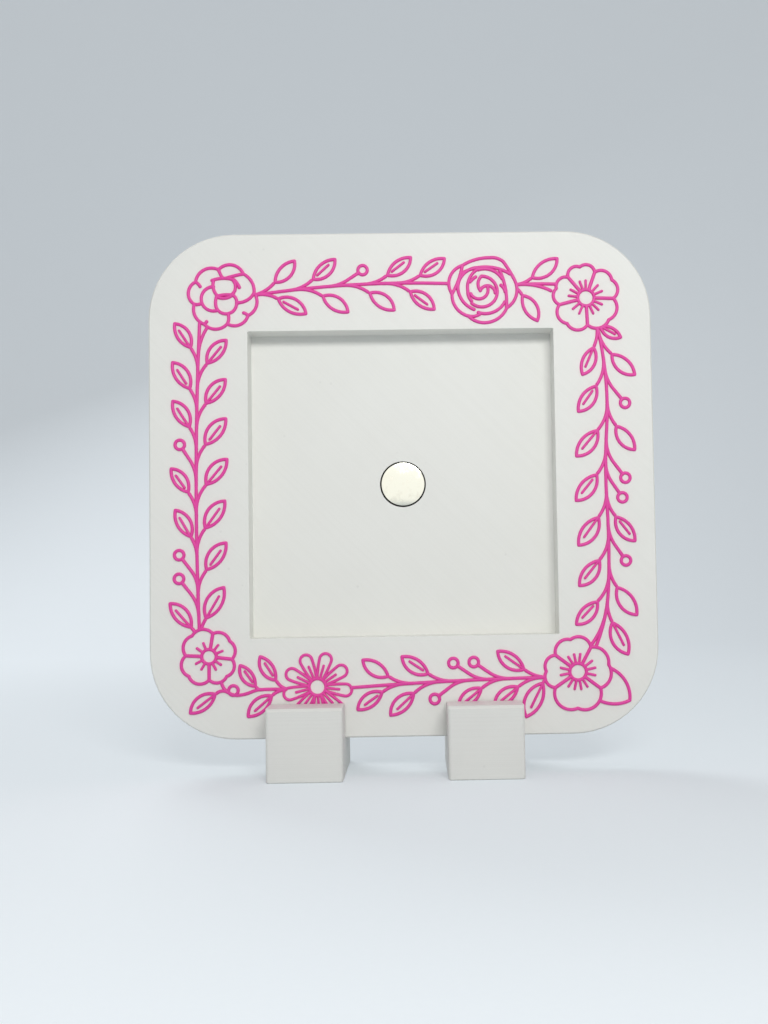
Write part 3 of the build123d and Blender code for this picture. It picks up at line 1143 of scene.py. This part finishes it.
@dataclass(frozen=True)
class NickelPlating:
    """Bright plating with faint round polishing marks, small dull spots, and a dark ring painted at its
    edge that stands in for the shade of the gap and the dark reflection in its rounded rim.
    """

    name: str = "nickel_plating"
    colour: Colour = (0.95, 0.945, 0.845)
    dull_colour: Colour = (0.85, 0.83, 0.73)
    mark_scale: float = 9000.0
    mark_detail: float = 3.0
    mark_share: float = 0.4
    mark_depth: float = 0.0012 * MM
    spot_scale: float = 700.0
    spot_detail: float = 5.0
    spot_rim: Range = (0.5, 0.72)
    unevenness: Range = (0.1, 1.2)
    roughness: Range = (0.08, 0.2)
    # Colour, width, blur and offset of the dark ring painted at the disc's edge: painted shade of the
    # gap and painted dark reflection of the rounded rim, wider at the bottom
    painted_edge_shade_colour: Colour = (0.03, 0.028, 0.025)
    edge_width: float = 0.15 * MM
    edge_blur: float = 0.05 * MM
    edge_offset: Triple = (0.02 * MM, 0.0, 0.035 * MM)

    def material(self, centre: Vector, radius: float) -> bpy.types.Material:
        """Builds the material.

        Args:
            centre: Middle of the disc, about which the polishing marks turn.
            radius: Radius of the disc, at whose edge shade and a dark reflection are painted.

        Returns:
            The material.
        """
        material, tree = new_material(self.name)
        place = add_node(tree, "ShaderNodeTexCoord").outputs["Object"]
        reach = from_axis(tree, place, centre)
        waves = {"W": reach, "Scale": self.mark_scale, "Detail": self.mark_detail}
        marks = add_node(tree, "ShaderNodeTexNoise", waves, noise_dimensions="1D").outputs["Fac"]
        dull = spread(tree, noise(tree, place, self.spot_scale, self.spot_detail), self.spot_rim)
        colour = mix_colours(tree, dull, self.colour, self.dull_colour)
        # Dark ring painted at the edge, wider towards the bottom: painted shade of the gap and painted
        # dark reflection of the rounded rim
        inner = radius - self.edge_width
        to_edge = from_axis(tree, place, centre + Vector(self.edge_offset))
        edge = spread(tree, to_edge, (inner - self.edge_blur, inner))
        colour = mix_colours(tree, edge, colour, self.painted_edge_shade_colour)
        uneven = calculate(tree, "MULTIPLY_ADD", marks, self.mark_share, dull)
        roughness = spread(tree, uneven, self.unevenness, self.roughness)
        normal = bumped(tree, calculate(tree, "MULTIPLY", marks, self.mark_depth))
        inputs = {"Base Color": colour, "Roughness": roughness, "Metallic": 1.0, "Normal": normal}
        add_surface(tree, inputs)
        return material


# Sub-assemblies


@dataclass
class Plate:
    """Square printed plate with round corners, and a recess with a pocket in its floor."""

    recess_side: float = 64.5 * MM
    recess_depth: float = 5.5 * MM
    recess_corner_radius: float = 0.3 * MM
    corner_radius: float = 18.0 * MM
    rim_chamfer: float = 0.3 * MM
    pocket_clearance: float = 0.14 * MM
    corner_steps: int = 14
    side_steps: int = 6
    edge_softness: float = 0.14 * MM

    def __post_init__(self) -> None:
        """Takes the plate's place and the magnet's size from the frame."""
        self.low, self.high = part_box("frame_plate")
        magnet_low, magnet_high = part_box("disc_magnet")
        self.side = self.high.x - self.low.x
        self.middle_z = (self.low.z + self.high.z) / 2
        self.pocket_radius = (magnet_high.x - magnet_low.x) / 2 + self.pocket_clearance
        self.pocket_back = magnet_high.y

    def square(self, side: float, radius: float, y: float) -> list[Vector]:
        """Ring round a square with round corners.

        Args:
            side: Length of the square's sides.
            radius: Radius of its corners.
            y: Depth of the ring.

        Returns:
            The ring's points, as many for each square.
        """
        reach, points = side / 2 - radius, []
        for quarter in range(4):
            corner = complex(reach, reach) * 1j**quarter
            next_corner = corner * 1j
            for step in range(self.corner_steps + 1):
                turn = QUARTER_TURN * (quarter + step / self.corner_steps)
                points.append(corner + radius * turned(turn))
            run_start, run = points[-1], next_corner - corner
            points += [run_start + run * step / self.side_steps for step in range(1, self.side_steps)]
        return [Vector((point.real, y, self.middle_z + point.imag)) for point in points]

    def circle(self, radius: float, y: float) -> list[Vector]:
        """Ring with a point in the direction of each of the recess's points.

        Args:
            radius: Radius of the ring.
            y: Depth of the ring.

        Returns:
            The ring's points.
        """
        ring = []
        for point in self.square(self.recess_side, self.recess_corner_radius, y):
            aside = Vector((point.x, 0, point.z - self.middle_z)).normalized() * radius
            ring.append(Vector((aside.x, y, self.middle_z + aside.z)))
        return ring

    def make(self) -> bpy.types.Object:
        """Builds the plate's mesh.

        Returns:
            The plate.
        """
        front, back = self.low.y, self.high.y
        rim_side, rim_radius = self.side - self.rim_chamfer * 2, self.corner_radius - self.rim_chamfer
        floor = front + self.recess_depth
        build = MeshBuild()
        build.stack(
            [
                self.square(rim_side, rim_radius, back),
                self.square(self.side, self.corner_radius, back - self.rim_chamfer),
                self.square(self.side, self.corner_radius, front + self.rim_chamfer),
                self.square(rim_side, rim_radius, front),
                self.square(self.recess_side, self.recess_corner_radius, front),
                self.square(self.recess_side, self.recess_corner_radius, floor),
                self.circle(self.pocket_radius, floor),
                self.circle(self.pocket_radius, self.pocket_back),
            ]
        )
        piece = build.finish("plate_shell")
        soften(piece, self.edge_softness)
        return piece


@dataclass
class DiscMagnet:
    """Plated disc with a rounded edge, flush with the recess's floor."""

    edge_radius: float = 0.22 * MM
    edge_steps: int = 6
    round_steps: int = 96

    def __post_init__(self) -> None:
        """Takes the disc's place from the frame."""
        self.low, self.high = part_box("disc_magnet")
        self.centre = (self.low + self.high) / 2
        self.radius = (self.high.x - self.low.x) / 2

    def ring(self, radius: float, y: float) -> list[Vector]:
        """Ring of the disc at a radius and a depth.

        Args:
            radius: Radius of the ring.
            y: Depth of the ring.

        Returns:
            The ring's points.
        """
        angles = (FULL_TURN * step / self.round_steps for step in range(self.round_steps))
        spots = (radius * turned(angle) for angle in angles)
        return [Vector((self.centre.x + spot.real, y, self.centre.z + spot.imag)) for spot in spots]

    def make(self) -> bpy.types.Object:
        """Builds the disc's mesh.

        Returns:
            The disc.
        """
        edge, steps = self.edge_radius, self.edge_steps
        inner, front, back = self.radius - edge, self.low.y + edge, self.high.y - edge
        quarter = [edge * turned(QUARTER_TURN * step / steps) for step in range(steps + 1)]
        rings = [self.ring(inner + spot.imag, front - spot.real) for spot in quarter]
        rings += [self.ring(inner + spot.real, back + spot.imag) for spot in quarter]
        build = MeshBuild()
        build.stack(rings)
        return build.finish("magnet_disc")


@dataclass
class Foot:
    """Printed block whose slot takes the plate's lower edge."""

    node: str
    slot_clearance: float = 0.3 * MM
    line_height: float = 0.4 * MM
    base_height: float = 7.5 * MM
    corner_radius: float = 0.7 * MM
    top_chamfer: float = 0.6 * MM
    bottom_chamfer: float = 0.2 * MM
    corner_steps: int = 8
    edge_softness: float = 0.16 * MM

    def __post_init__(self) -> None:
        """Takes the foot's place, and the slot's from the plate."""
        self.low, self.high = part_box(self.node)
        plate_low, plate_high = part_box("frame_plate")
        self.slot_front = plate_low.y - self.line_height - self.slot_clearance
        self.slot_back = plate_high.y + self.slot_clearance

    def half_ring(self, inset: float, z: float, front: bool) -> list[Vector]:
        """Front or rear half of the ring round the foot, from one end of the slot to the other.

        Args:
            inset: Distance inside the foot's sides.
            z: Height of the ring.
            front: Whether the half is the front one.

        Returns:
            The half ring's points, anticlockwise from above.
        """
        radius = self.corner_radius - inset
        middle = (self.low.x + self.high.x) / 2
        reach = (self.high.x - self.low.x) / 2 - self.corner_radius
        sign = -1 if front else 1
        end_y = self.low.y if front else self.high.y
        slot_y = self.slot_front if front else self.slot_back
        points = [complex(middle + sign * (reach + radius), slot_y)]
        for side, start in ((sign, QUARTER_TURN * (1 - sign)), (-sign, QUARTER_TURN * (2 - sign))):
            centre = complex(middle + side * reach, end_y - sign * self.corner_radius)
            shares = (step / self.corner_steps for step in range(self.corner_steps + 1))
            points += [centre + radius * turned(start + QUARTER_TURN * share) for share in shares]
        points.append(complex(middle - sign * (reach + radius), slot_y))
        return [Vector((point.real, point.imag, z)) for point in points]

    def lip(self, build: MeshBuild, base: list[int], front: bool) -> None:
        """Builds one of the lips that hold the plate.

        Args:
            build: The foot's mesh.
            base: The base's vertices under the lip.
            front: Whether the lip is the front one.
        """
        top = self.high.z
        sign = -1 if front else 1
        end_y = self.low.y if front else self.high.y
        shoulder = build.loop(self.half_ring(0.0, top - self.top_chamfer, front))
        crown = self.half_ring(0.0, top, front)
        limit = end_y - sign * self.top_chamfer
        for point in crown:
            point.y = max(point.y, limit) if front else min(point.y, limit)
        crown_loop = build.loop(crown)
        build.bridge(base, shoulder)
        build.bridge(shoulder, crown_loop)
        build.faces.append(tuple(crown_loop))

    def make(self) -> bpy.types.Object:
        """Builds the foot's mesh.

        Returns:
            The foot.
        """
        build = MeshBuild()
        heights = self.low.z, self.low.z + self.bottom_chamfer, self.low.z + self.base_height
        levels = list(zip((self.bottom_chamfer, 0.0, 0.0), heights))
        halves = []
        for front in (True, False):
            loops = [build.loop(self.half_ring(inset, z, front)) for inset, z in levels]
            for first, second in zip(loops, loops[1:]):
                build.bridge(first, second, closed=False)
            self.lip(build, loops[-1], front)
            halves.append(loops)
        for level in range(len(levels) - 1):
            for mine, other in (halves, halves[::-1]):
                lower = mine[level][-1], other[level][0]
                upper = other[level + 1][0], mine[level + 1][-1]
                build.faces.append(lower + upper)
        (front_base, *_, front_ledge), (rear_base, *_, rear_ledge) = halves
        build.faces.append(tuple(front_base + rear_base))
        build.faces.append((front_ledge[0], front_ledge[-1], rear_ledge[0], rear_ledge[-1]))
        piece = build.finish(f"{self.node}_block")
        soften(piece, self.edge_softness)
        return piece


# Drawing of the border, in shares of the plate's half side

BARE, BERRY = TwigEnd.BARE, TwigEnd.BERRY
PLAIN, VEINED, FLOATING = TwigEnd.PLAIN, TwigEnd.VEINED, TwigEnd.FLOATING

# Twigs in order along each stem: place on the stem, end, side (1 is the stem's left),
# lean in degrees, length of the leaf or of the berry's stalk and reach of the bend as shares
# of the usual ones
VINE_TOP_SHARES = [
    (0.01, PLAIN, 1, 39, 0.96, 1), (0.04, FLOATING, -1, 37, 1.03, 0.8), (0.2, FLOATING, 1, 36, 0.98, 1),
    (0.23, PLAIN, -1, 39, 0.98, 1), (0.39, BERRY, 1, 29, 1, 1), (0.46, PLAIN, -1, 39, 0.98, 1),
    (0.56, FLOATING, 1, 35, 0.97, 1), (0.66, FLOATING, -1, 38, 0.98, 1),
    (0.72, FLOATING, 1, 34, 0.98, 1),
]
SPRIG_TOP_RIGHT_SHARES = [
    (0, PLAIN, -1, 66, 0.97, 0.44), (0.17, PLAIN, 1, 33, 1.04, 0.8), (0.27, BARE, -1, 30, 1, 1.6),
]
VINE_RIGHT_SHARES = [
    (0, VEINED, 1, 48, 0.78, 0.15), (0, VEINED, -1, 37, 0.97, 1), (0.034, PLAIN, 1, 36, 1, 1),
    (0.11, FLOATING, -1, 43, 1.02, 1), (0.145, BERRY, 1, 33, 1, 1), (0.245, PLAIN, 1, 37, 0.98, 1),
    (0.253, VEINED, -1, 40, 1.08, 1), (0.355, BERRY, 1, 40, 1, 1), (0.428, BERRY, 1, 35, 1, 0.9),
    (0.392, FLOATING, -1, 37, 1.07, 1), (0.517, VEINED, -1, 38, 1.1, 1), (0.52, FLOATING, 1, 36, 1, 1),
    (0.615, BERRY, 1, 33, 1, 1), (0.643, VEINED, -1, 40, 1.04, 1), (0.73, PLAIN, 1, 36, 1.08, 1),
    (0.765, FLOATING, -1, 42, 1, 1), (0.838, VEINED, 1, 33, 1.12, 1), (0.87, BARE, -1, 30, 1, 2.1),
]
VINE_LEFT_SHARES = [
    (0, VEINED, 1, 39, 1.02, 0.8), (0.02, VEINED, -1, 33, 1.12, 1), (0.098, BERRY, 1, 36, 1, 1),
    (0.177, BERRY, 1, 36, 1, 0.9), (0.16, FLOATING, -1, 38, 1.06, 1), (0.278, VEINED, 1, 29, 1, 1),
    (0.29, VEINED, -1, 37, 1.07, 1), (0.405, FLOATING, 1, 35, 0.95, 1), (0.42, VEINED, -1, 40, 1.05, 1),
    (0.512, BERRY, 1, 33, 1, 1), (0.547, FLOATING, -1, 38, 1.06, 1), (0.61, VEINED, 1, 33, 1, 1),
    (0.675, VEINED, -1, 38, 1, 1), (0.727, FLOATING, 1, 34, 1.02, 1), (0.8, VEINED, -1, 38, 0.98, 1),
    (0.853, VEINED, 1, 35, 0.95, 1), (0.9, BARE, -1, 38, 1, 1.5),
]
VINE_BOTTOM_SHARES = [
    (0, VEINED, 1, 62, 1.18, 0.2), (0.01, VEINED, -1, 36, 1.03, 1), (0.04, VEINED, 1, 37, 0.97, 1),
    (0.2, BERRY, -1, 36, 1, 0.9), (0.22, VEINED, 1, 37, 0.95, 1), (0.3, BERRY, -1, 36, 1, 0.9),
    (0.4, BERRY, 1, 35, 1, 0.9), (0.48, FLOATING, -1, 36, 1.01, 1), (0.545, VEINED, 1, 40, 1.02, 1),
    (0.675, PLAIN, -1, 36, 0.98, 1), (0.72, FLOATING, 1, 32, 0.97, 1),
]
SPRIG_BOTTOM_LEFT_SHARES = [
    (0, FLOATING, -1, 51, 0.92, 0.48), (0.04, VEINED, 1, 46, 1, 0.5),
    (0.395, FLOATING, -1, 57.5, 0.85, 0.12), (0.715, BERRY, -1, 54, 0.05, 0.02),
    (0.84, VEINED, 1, 71, 1, 0.25),
]

# Stems: start, bow, end and any further ends, and the twigs
STEM_SHARES = {
    "vine_top": ((-0.6 + 0.75j, -0.2 + 0.79j, 0.22 + 0.79j), VINE_TOP_SHARES),
    "sprig_top_right": ((0.42 + 0.78j, 0.53 + 0.786j, 0.64 + 0.783j), SPRIG_TOP_RIGHT_SHARES),
    "vine_right": (
        (0.78 + 0.63j, 0.812 + 0.43j, 0.813 + 0.2j, 0.808 - 0.1j, 0.807 - 0.42j, 0.743 - 0.68j),
        VINE_RIGHT_SHARES,
    ),
    "vine_left": ((-0.802 - 0.64j, -0.814 + 0j, -0.797 + 0.64j), VINE_LEFT_SHARES),
    "vine_bottom": ((0.57 - 0.777j, 0.2 - 0.785j, -0.23 - 0.806j), VINE_BOTTOM_SHARES),
    "sprig_bottom_left": (
        (
            -0.45 - 0.81j, -0.51 - 0.806j, -0.57 - 0.807j,
            -0.6 - 0.814j, -0.65 - 0.827j, -0.72 - 0.778j,
        ),
        SPRIG_BOTTOM_LEFT_SHARES,
    ),
}

# Petals of the blossoms, anticlockwise: angle where it starts, reach as a share, stamens
TOP_RIGHT_PETALS = (
    Petal(-2, 1, 2), Petal(70, 1, 2), Petal(130, 0.98, 2), Petal(194, 1.02, 2), Petal(272, 1, 3),
)
BOTTOM_RIGHT_PETALS = (
    Petal(61, 1.02, 3), Petal(143, 0.99, 2), Petal(214, 1.13, 4), Petal(323, 0.98, 3),
)
BOTTOM_LEFT_PETALS = (
    Petal(-7, 0.96, 2), Petal(80, 1, 2), Petal(177, 1.04, 2), Petal(270, 0.99, 2),
)

# Rims of the folded flowers, anticlockwise from the right, and their folds from the outer
# petals to the heart
PEONY_RIM_SHARES = (
    (0.9 + 0.1j, 0.84 + 0.41j), (0.6 + 0.65j, 0.23 + 0.92j), (-0.11 + 0.78j, -0.54 + 0.77j),
    (-0.77 + 0.43j, -0.98 + 0.11j), (-0.81 - 0.21j, -0.81 - 0.5j), (-0.53 - 0.79j, -0.2 - 0.94j),
    (0.13 - 0.79j, 0.46 - 0.83j), (0.72 - 0.56j, 0.98 - 0.21j),
)
PEONY_FOLD_SHARES = (
    (-0.11 + 0.78j, -0.06 + 0.65j, 0.01 + 0.53j), (0.6 + 0.65j, 0.35 + 0.6j, 0.1 + 0.53j),
    (0.9 + 0.1j, 0.72 - 0.1j, 0.4 - 0.18j), (-0.77 + 0.43j, -0.7 + 0.38j, -0.64 + 0.3j),
    (-0.81 - 0.21j, -0.7 - 0.22j, -0.6 - 0.19j), (-0.53 - 0.79j, -0.49 - 0.76j, -0.46 - 0.72j),
    (0.13 - 0.79j, 0.17 - 0.65j, 0.15 - 0.5j), (0.72 - 0.56j, 0.67 - 0.51j, 0.6 - 0.48j),
    (-0.26 + 0.29j, -0.61 - 0.04j, -0.16 - 0.4j), (-0.3 + 0.47j, 0.02 + 0.53j, 0.33 + 0.48j),
    (0.33 + 0.48j, 0.42 + 0.38j, 0.48 + 0.26j), (0.31 + 0.46j, 0.37 + 0.26j, 0.27 + 0.06j),
    (-0.26 + 0.44j, -0.26 + 0.22j, -0.14 + 0.02j), (-0.17 + 0.01j, 0.06 + 0.05j, 0.28 + 0.04j),
    (-0.17 + 0j, 0.06 - 0.05j, 0.28 + 0.04j), (0.28 + 0.05j, 0.37 - 0.04j, 0.4 - 0.2j),
    (-0.17 + 0j, -0.2 - 0.12j, -0.2 - 0.25j), (-0.2 - 0.25j, 0.09 - 0.5j, 0.4 - 0.2j),
)
ROSE_RIM_SHARES = (
    (0.95 + 0.24j, 0.78 + 0.57j), (0.61 + 0.83j, 0.43 + 0.93j), (0.22 + 0.95j, -0.19 + 0.9j),
    (-0.58 + 0.73j, -0.93 + 0.43j), (-0.89 - 0.1j, -0.78 - 0.5j), (-0.43 - 0.75j, -0.21 - 0.9j),
    (0 - 0.95j, 0.4 - 0.85j), (0.69 - 0.52j, 0.97 - 0.16j),
)
ROSE_FOLD_SHARES = (
    (-0.58 + 0.73j, -0.69 + 0.33j, -0.89 - 0.1j), (-0.6 + 0.5j, 0.08 + 0.68j, 0.8 + 0.47j),
    (0.51 + 0.56j, 0.65 + 0.1j, 0.68 - 0.5j), (0.63 - 0.35j, 0.35 - 0.62j, -0.14 - 0.65j),
    (-0.43 - 0.75j, -0.26 - 0.76j, -0.1 - 0.7j), (-0.18 + 0.66j, -0.57 + 0.46j, -0.72 + 0.05j),
    (-0.72 + 0.05j, -0.61 - 0.27j, -0.26 - 0.56j), (-0.12 + 0.63j, -0.38 + 0.35j, -0.43 - 0.03j),
    (-0.43 - 0.03j, -0.41 - 0.18j, -0.33 - 0.31j), (-0.12 + 0.6j, 0.19 + 0.61j, 0.57 + 0.33j),
    (-0.32 - 0.38j, 0.42 + 0j, -0.03 + 0.41j), (-0.03 + 0.41j, -0.13 + 0.22j, -0.07 - 0.01j),
    (-0.07 - 0.01j, 0.11 + 0.13j, 0.36 - 0.08j), (0.14 + 0.1j, 0.05 - 0.2j, -0.35 - 0.1j),
    (-0.36 + 0.25j, -0.28 + 0.33j, -0.2 + 0.39j), (0.65 - 0.05j, 0.61 + 0.05j, 0.53 + 0.14j),
)

# Flowers: drawing, place as a share of the plate's half side, turn
FLOWER_SHARES = {
    "peony": (FoldedFlower(7.7 * MM, PEONY_RIM_SHARES, PEONY_FOLD_SHARES), -0.705 + 0.749j, 0),
    "rose": (FoldedFlower(7.65 * MM, ROSE_RIM_SHARES, ROSE_FOLD_SHARES), 0.33 + 0.763j, 0),
    "daisy": (Daisy(), -0.345 - 0.8j, -7),
    "blossom_top_right": (Blossom(7.4 * MM, TOP_RIGHT_PETALS), 0.742 + 0.728j, 0),
    "blossom_bottom_right": (Blossom(7.4 * MM, BOTTOM_RIGHT_PETALS), 0.679 - 0.757j, 0),
    "blossom_bottom_left": (Blossom(6.2 * MM, BOTTOM_LEFT_PETALS), -0.768 - 0.675j, 0),
}


@dataclass
class FloralBorder:
    """Raised pink lines round the recess: vines, sprigs, flowers and one leaf on its own."""

    pen: LinePen = LinePen()
    corner_leaf_length: float = 12.7 * MM
    corner_leaf_upper_share: float = 0.34
    corner_leaf_lower_share: float = 0.27
    corner_leaf_angle: float = -30.0
    corner_leaf_flower: str = "blossom_bottom_right"
    sharp_angle: float = 60.0

    def __post_init__(self) -> None:
        """Takes the face and the lines' height from the frame."""
        low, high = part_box("frame_plate")
        self.half_side = (high.x - low.x) / 2
        self.face_y = low.y
        self.middle_z = (low.z + high.z) / 2
        self.height = low.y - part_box("peony")[0].y

    def drawings(self) -> dict[str, list[Stroke]]:
        """Lines of each piece of the border, by the node that it stands for.

        Returns:
            The strokes that show, with what the flowers hide left out.
        """
        drawings, outlines = {}, []
        for name, (flower, share, angle) in FLOWER_SHARES.items():
            place = share * self.half_side
            drawings[name] = [stroke.placed(place, angle) for stroke in flower.strokes()]
            outlines += flower.cover().placed(place, angle).outlines
        sides = self.corner_leaf_upper_share, self.corner_leaf_lower_share
        lone_leaf = Leaf(self.pen, self.corner_leaf_length, *sides)
        leaf_place = FLOWER_SHARES[self.corner_leaf_flower][1] * self.half_side
        angle = self.corner_leaf_angle
        greens = {"corner_leaf": [stroke.placed(leaf_place, angle) for stroke in lone_leaf.strokes()]}
        for name, (stem_shares, rows) in STEM_SHARES.items():
            greens[name] = Vine(stem_shares, [Twig(*row) for row in rows]).strokes(self.half_side)
        flowers = Cover(outlines)
        for name, strokes in greens.items():
            drawings[name] = [part for stroke in strokes for part in flowers.trimmed(stroke)]
        return drawings

    def make(self) -> dict[str, bpy.types.Object]:
        """Builds the mesh of each piece of the border.

        Returns:
            The pieces, by the node that each stands for.
        """
        pieces = {}
        for name, strokes in self.drawings().items():
            beads = Beads(self.pen, self.face_y, self.height, self.middle_z)
            for stroke in strokes:
                beads.add(stroke)
            pieces[name] = beads.build.finish(f"{name}_lines", self.sharp_angle)
        return pieces


# Studio


@dataclass(frozen=True)
class Lamp:
    """Soft light of a rectangular shape."""

    name: str
    place: Triple
    width: float
    height: float
    power: float
    colour: Colour

    def add(self, aim: Vector) -> None:
        """Adds the lamp to the scene.

        Args:
            aim: Point that it faces.
        """
        light = bpy.data.lights.new(self.name, "AREA")
        light.shape = "RECTANGLE"
        light.size = self.width
        light.size_y = self.height
        light.energy = self.power
        light.color = self.colour
        lamp = bpy.data.objects.new(self.name, light)
        lamp.location = self.place
        lamp.rotation_euler = (aim - Vector(self.place)).to_track_quat("-Z", "Y").to_euler()
        lamp.visible_camera = False
        bpy.context.scene.collection.objects.link(lamp)


@dataclass
class Studio:
    """Pale floor that sweeps up behind the object, soft lights and the photograph's camera."""

    floor_colour: Colour = (0.64, 0.68, 0.71)
    floor_glow: float = 0.34
    floor_roughness: float = 0.9
    floor_gloss: float = 0.1
    fibre_shade: float = 0.985
    fibre_scale: float = 900.0
    fibre_detail: float = 3.0
    half_width: float = 1.6
    front: float = -1.2
    sweep_start: float = 0.35
    sweep_radius: float = 0.35
    wall_height: float = 1.6
    sweep_steps: int = 16

    camera_place: Triple = (1.80 * MM, -235.83 * MM, 40.79 * MM)
    camera_pan: float = 0.906
    camera_tilt: float = -2.579
    camera_roll: float = 0.874
    sensor_width: float = 36.0
    clip_start: float = 10 * MM
    lens: float = 39.02
    shift_x: float = -0.0444
    shift_y: float = 0.0135

    lamps: tuple[Lamp, ...] = (
        Lamp("key_light", (0.06, -0.36, 0.21), 0.17, 0.08, 0.70, (1.0, 0.995, 0.975)),
        Lamp("back_light", (-0.25, 0.42, 0.45), 0.3, 0.3, 1.3, (0.98, 0.99, 1.0)),
    )
    world_colour: Colour = (0.97, 0.985, 1.0)
    world_strength: float = 0.45
    mirrored: Colour = (1.0, 1.0, 0.97)
    background: Colour = (0.62, 0.66, 0.70)

    def floor(self) -> None:
        """Builds the floor and its backdrop."""
        profile = [(self.front, 0.0), (self.sweep_start, 0.0)]
        for step in range(1, self.sweep_steps + 1):
            bend = self.sweep_radius * turned(QUARTER_TURN * step / self.sweep_steps)
            profile.append((self.sweep_start + bend.imag, self.sweep_radius - bend.real))
        profile.append((self.sweep_start + self.sweep_radius, self.wall_height))
        build, reach = MeshBuild(), self.half_width
        left, right = (build.loop([Vector((x, y, z)) for y, z in profile]) for x in (-reach, reach))
        build.bridge(left, right, closed=False)
        floor = build.finish("studio_floor")
        material, tree = new_material("studio_paper")
        place = add_node(tree, "ShaderNodeTexCoord").outputs["Object"]
        fibres = noise(tree, place, self.fibre_scale, self.fibre_detail)
        shade = tuple(part * self.fibre_shade for part in self.floor_colour)
        colour = mix_colours(tree, fibres, self.floor_colour, shade)
        rays = add_node(tree, "ShaderNodeLightPath").outputs
        seen = calculate(tree, "MAXIMUM", rays["Is Camera Ray"], rays["Is Transmission Ray"])
        seen = calculate(tree, "MAXIMUM", seen, rays["Is Glossy Ray"])
        glow = calculate(tree, "MULTIPLY", seen, self.floor_glow)
        gloss = {"Roughness": self.floor_roughness, "Specular IOR Level": self.floor_gloss}
        shine = {"Emission Color": colour, "Emission Strength": glow}
        add_surface(tree, {"Base Color": colour, **gloss, **shine})
        floor.data.materials.append(material)

    def lights(self) -> None:
        """Adds the lamps and the world's light."""
        low, high = CAD_BOX
        for lamp in self.lamps:
            lamp.add((low + high) / 2)
        world = bpy.data.worlds.new("studio_world")
        bpy.context.scene.world = world
        world.use_nodes = True
        tree = world.node_tree
        tree.nodes.clear()
        rays = add_node(tree, "ShaderNodeLightPath").outputs
        seen = calculate(tree, "MAXIMUM", rays["Is Camera Ray"], rays["Is Transmission Ray"])
        shares = (rays["Is Glossy Ray"], seen)
        shown = self.sky(tree, self.world_colour, self.world_strength)
        for share, colour in zip(shares, (self.mirrored, self.background)):
            skies = {0: share, 1: shown, 2: self.sky(tree, colour, 1.0)}
            shown = add_node(tree, "ShaderNodeMixShader", skies).outputs[0]
        add_node(tree, "ShaderNodeOutputWorld", {"Surface": shown})

    @staticmethod
    def sky(tree: Tree, colour: Colour, strength: float) -> Socket:
        """Output of a Background node."""
        inputs = {"Color": (*colour, 1.0), "Strength": strength}
        return add_node(tree, "ShaderNodeBackground", inputs).outputs[0]

    def camera(self) -> None:
        """Adds the camera at the photograph's place and angle."""
        data = bpy.data.cameras.new("photo_camera")
        data.sensor_width = self.sensor_width
        data.lens = self.lens
        data.shift_x = self.shift_x
        data.shift_y = self.shift_y
        data.clip_start = self.clip_start
        camera = bpy.data.objects.new("photo_camera", data)
        angles = ((self.camera_roll, "Z"), (self.camera_tilt, "X"), (self.camera_pan, "Y"))
        turns = [Matrix.Rotation(math.radians(angle), 3, axis) for angle, axis in angles]
        upright = Matrix.Rotation(math.radians(QUARTER_TURN), 3, "X")
        facing = upright @ (turns[0] @ turns[1] @ turns[2]).transposed()
        camera.matrix_world = Matrix.Translation(self.camera_place) @ facing.to_4x4()
        bpy.context.scene.collection.objects.link(camera)
        bpy.context.scene.camera = camera

    def make(self) -> None:
        """Builds the whole studio."""
        self.camera()
        self.floor()
        self.lights()
        bpy.context.scene.view_settings.view_transform = "Standard"


@dataclass(frozen=True)
class Finishes:
    """Finishes of the object's pieces."""

    plate: PrintedPlastic = PrintedPlastic(
        "white_plate", (0.82, 0.82, 0.782), (0.765, 0.765, 0.722), BuildAxis.DEPTH, DIAGONAL_ON_FACE
    )
    feet: PrintedPlastic = PrintedPlastic(
        "white_feet", (0.775, 0.775, 0.745), (0.70, 0.70, 0.67), BuildAxis.UP, DIAGONAL_FROM_ABOVE
    )
    lines: PrintedPlastic = PrintedPlastic(
        "pink_lines", (0.80, 0.045, 0.36), (0.66, 0.05, 0.33), BuildAxis.DEPTH, DIAGONAL_ON_FACE,
        layer_depth=0.01 * MM, raster_depth=0.002 * MM, speck_share=0.0, roughness=(0.4, 0.55),
    )
    magnet: NickelPlating = NickelPlating()


def dress(
    piece: bpy.types.Object, node: str, body: str, material: bpy.types.Material
) -> None:
    """Gives a piece its finish and its body, and hides the CAD node that it stands for.

    Args:
        piece: The piece.
        node: CAD node that the piece stands for.
        body: Body that it moves with.
        material: Its finish.
    """
    piece.data.materials.append(material)
    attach(piece, body)
    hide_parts(node)
    LOG.info("%s: %d faces, rides on %s", piece.name, len(piece.data.polygons), body)


def main() -> None:
    """Builds the studio and the pieces in order."""
    logging.basicConfig(level=logging.INFO, format="%(message)s")
    Studio().make()
    effects, finishes = Effects(), Finishes()
    plate, magnet = Plate(), DiscMagnet()
    plate_finish = replace(
        finishes.plate,
        gap_centre=tuple(magnet.centre),
        gap_radius=plate.pocket_radius,
        gap_back=plate.pocket_back,
    )
    dress(plate.make(), "frame_plate", "frame", plate_finish.material(effects))
    magnet_material = finishes.magnet.material(magnet.centre, magnet.radius)
    dress(magnet.make(), "disc_magnet", "frame", magnet_material)
    feet_material = finishes.feet.material(effects)
    for node in ("left_foot", "right_foot"):
        dress(Foot(node).make(), node, node, feet_material)
    lines_material = finishes.lines.material(effects)
    for node, piece in FloralBorder().make().items():
        dress(piece, node, "frame", lines_material)


if __name__ == "__main__":
    main()
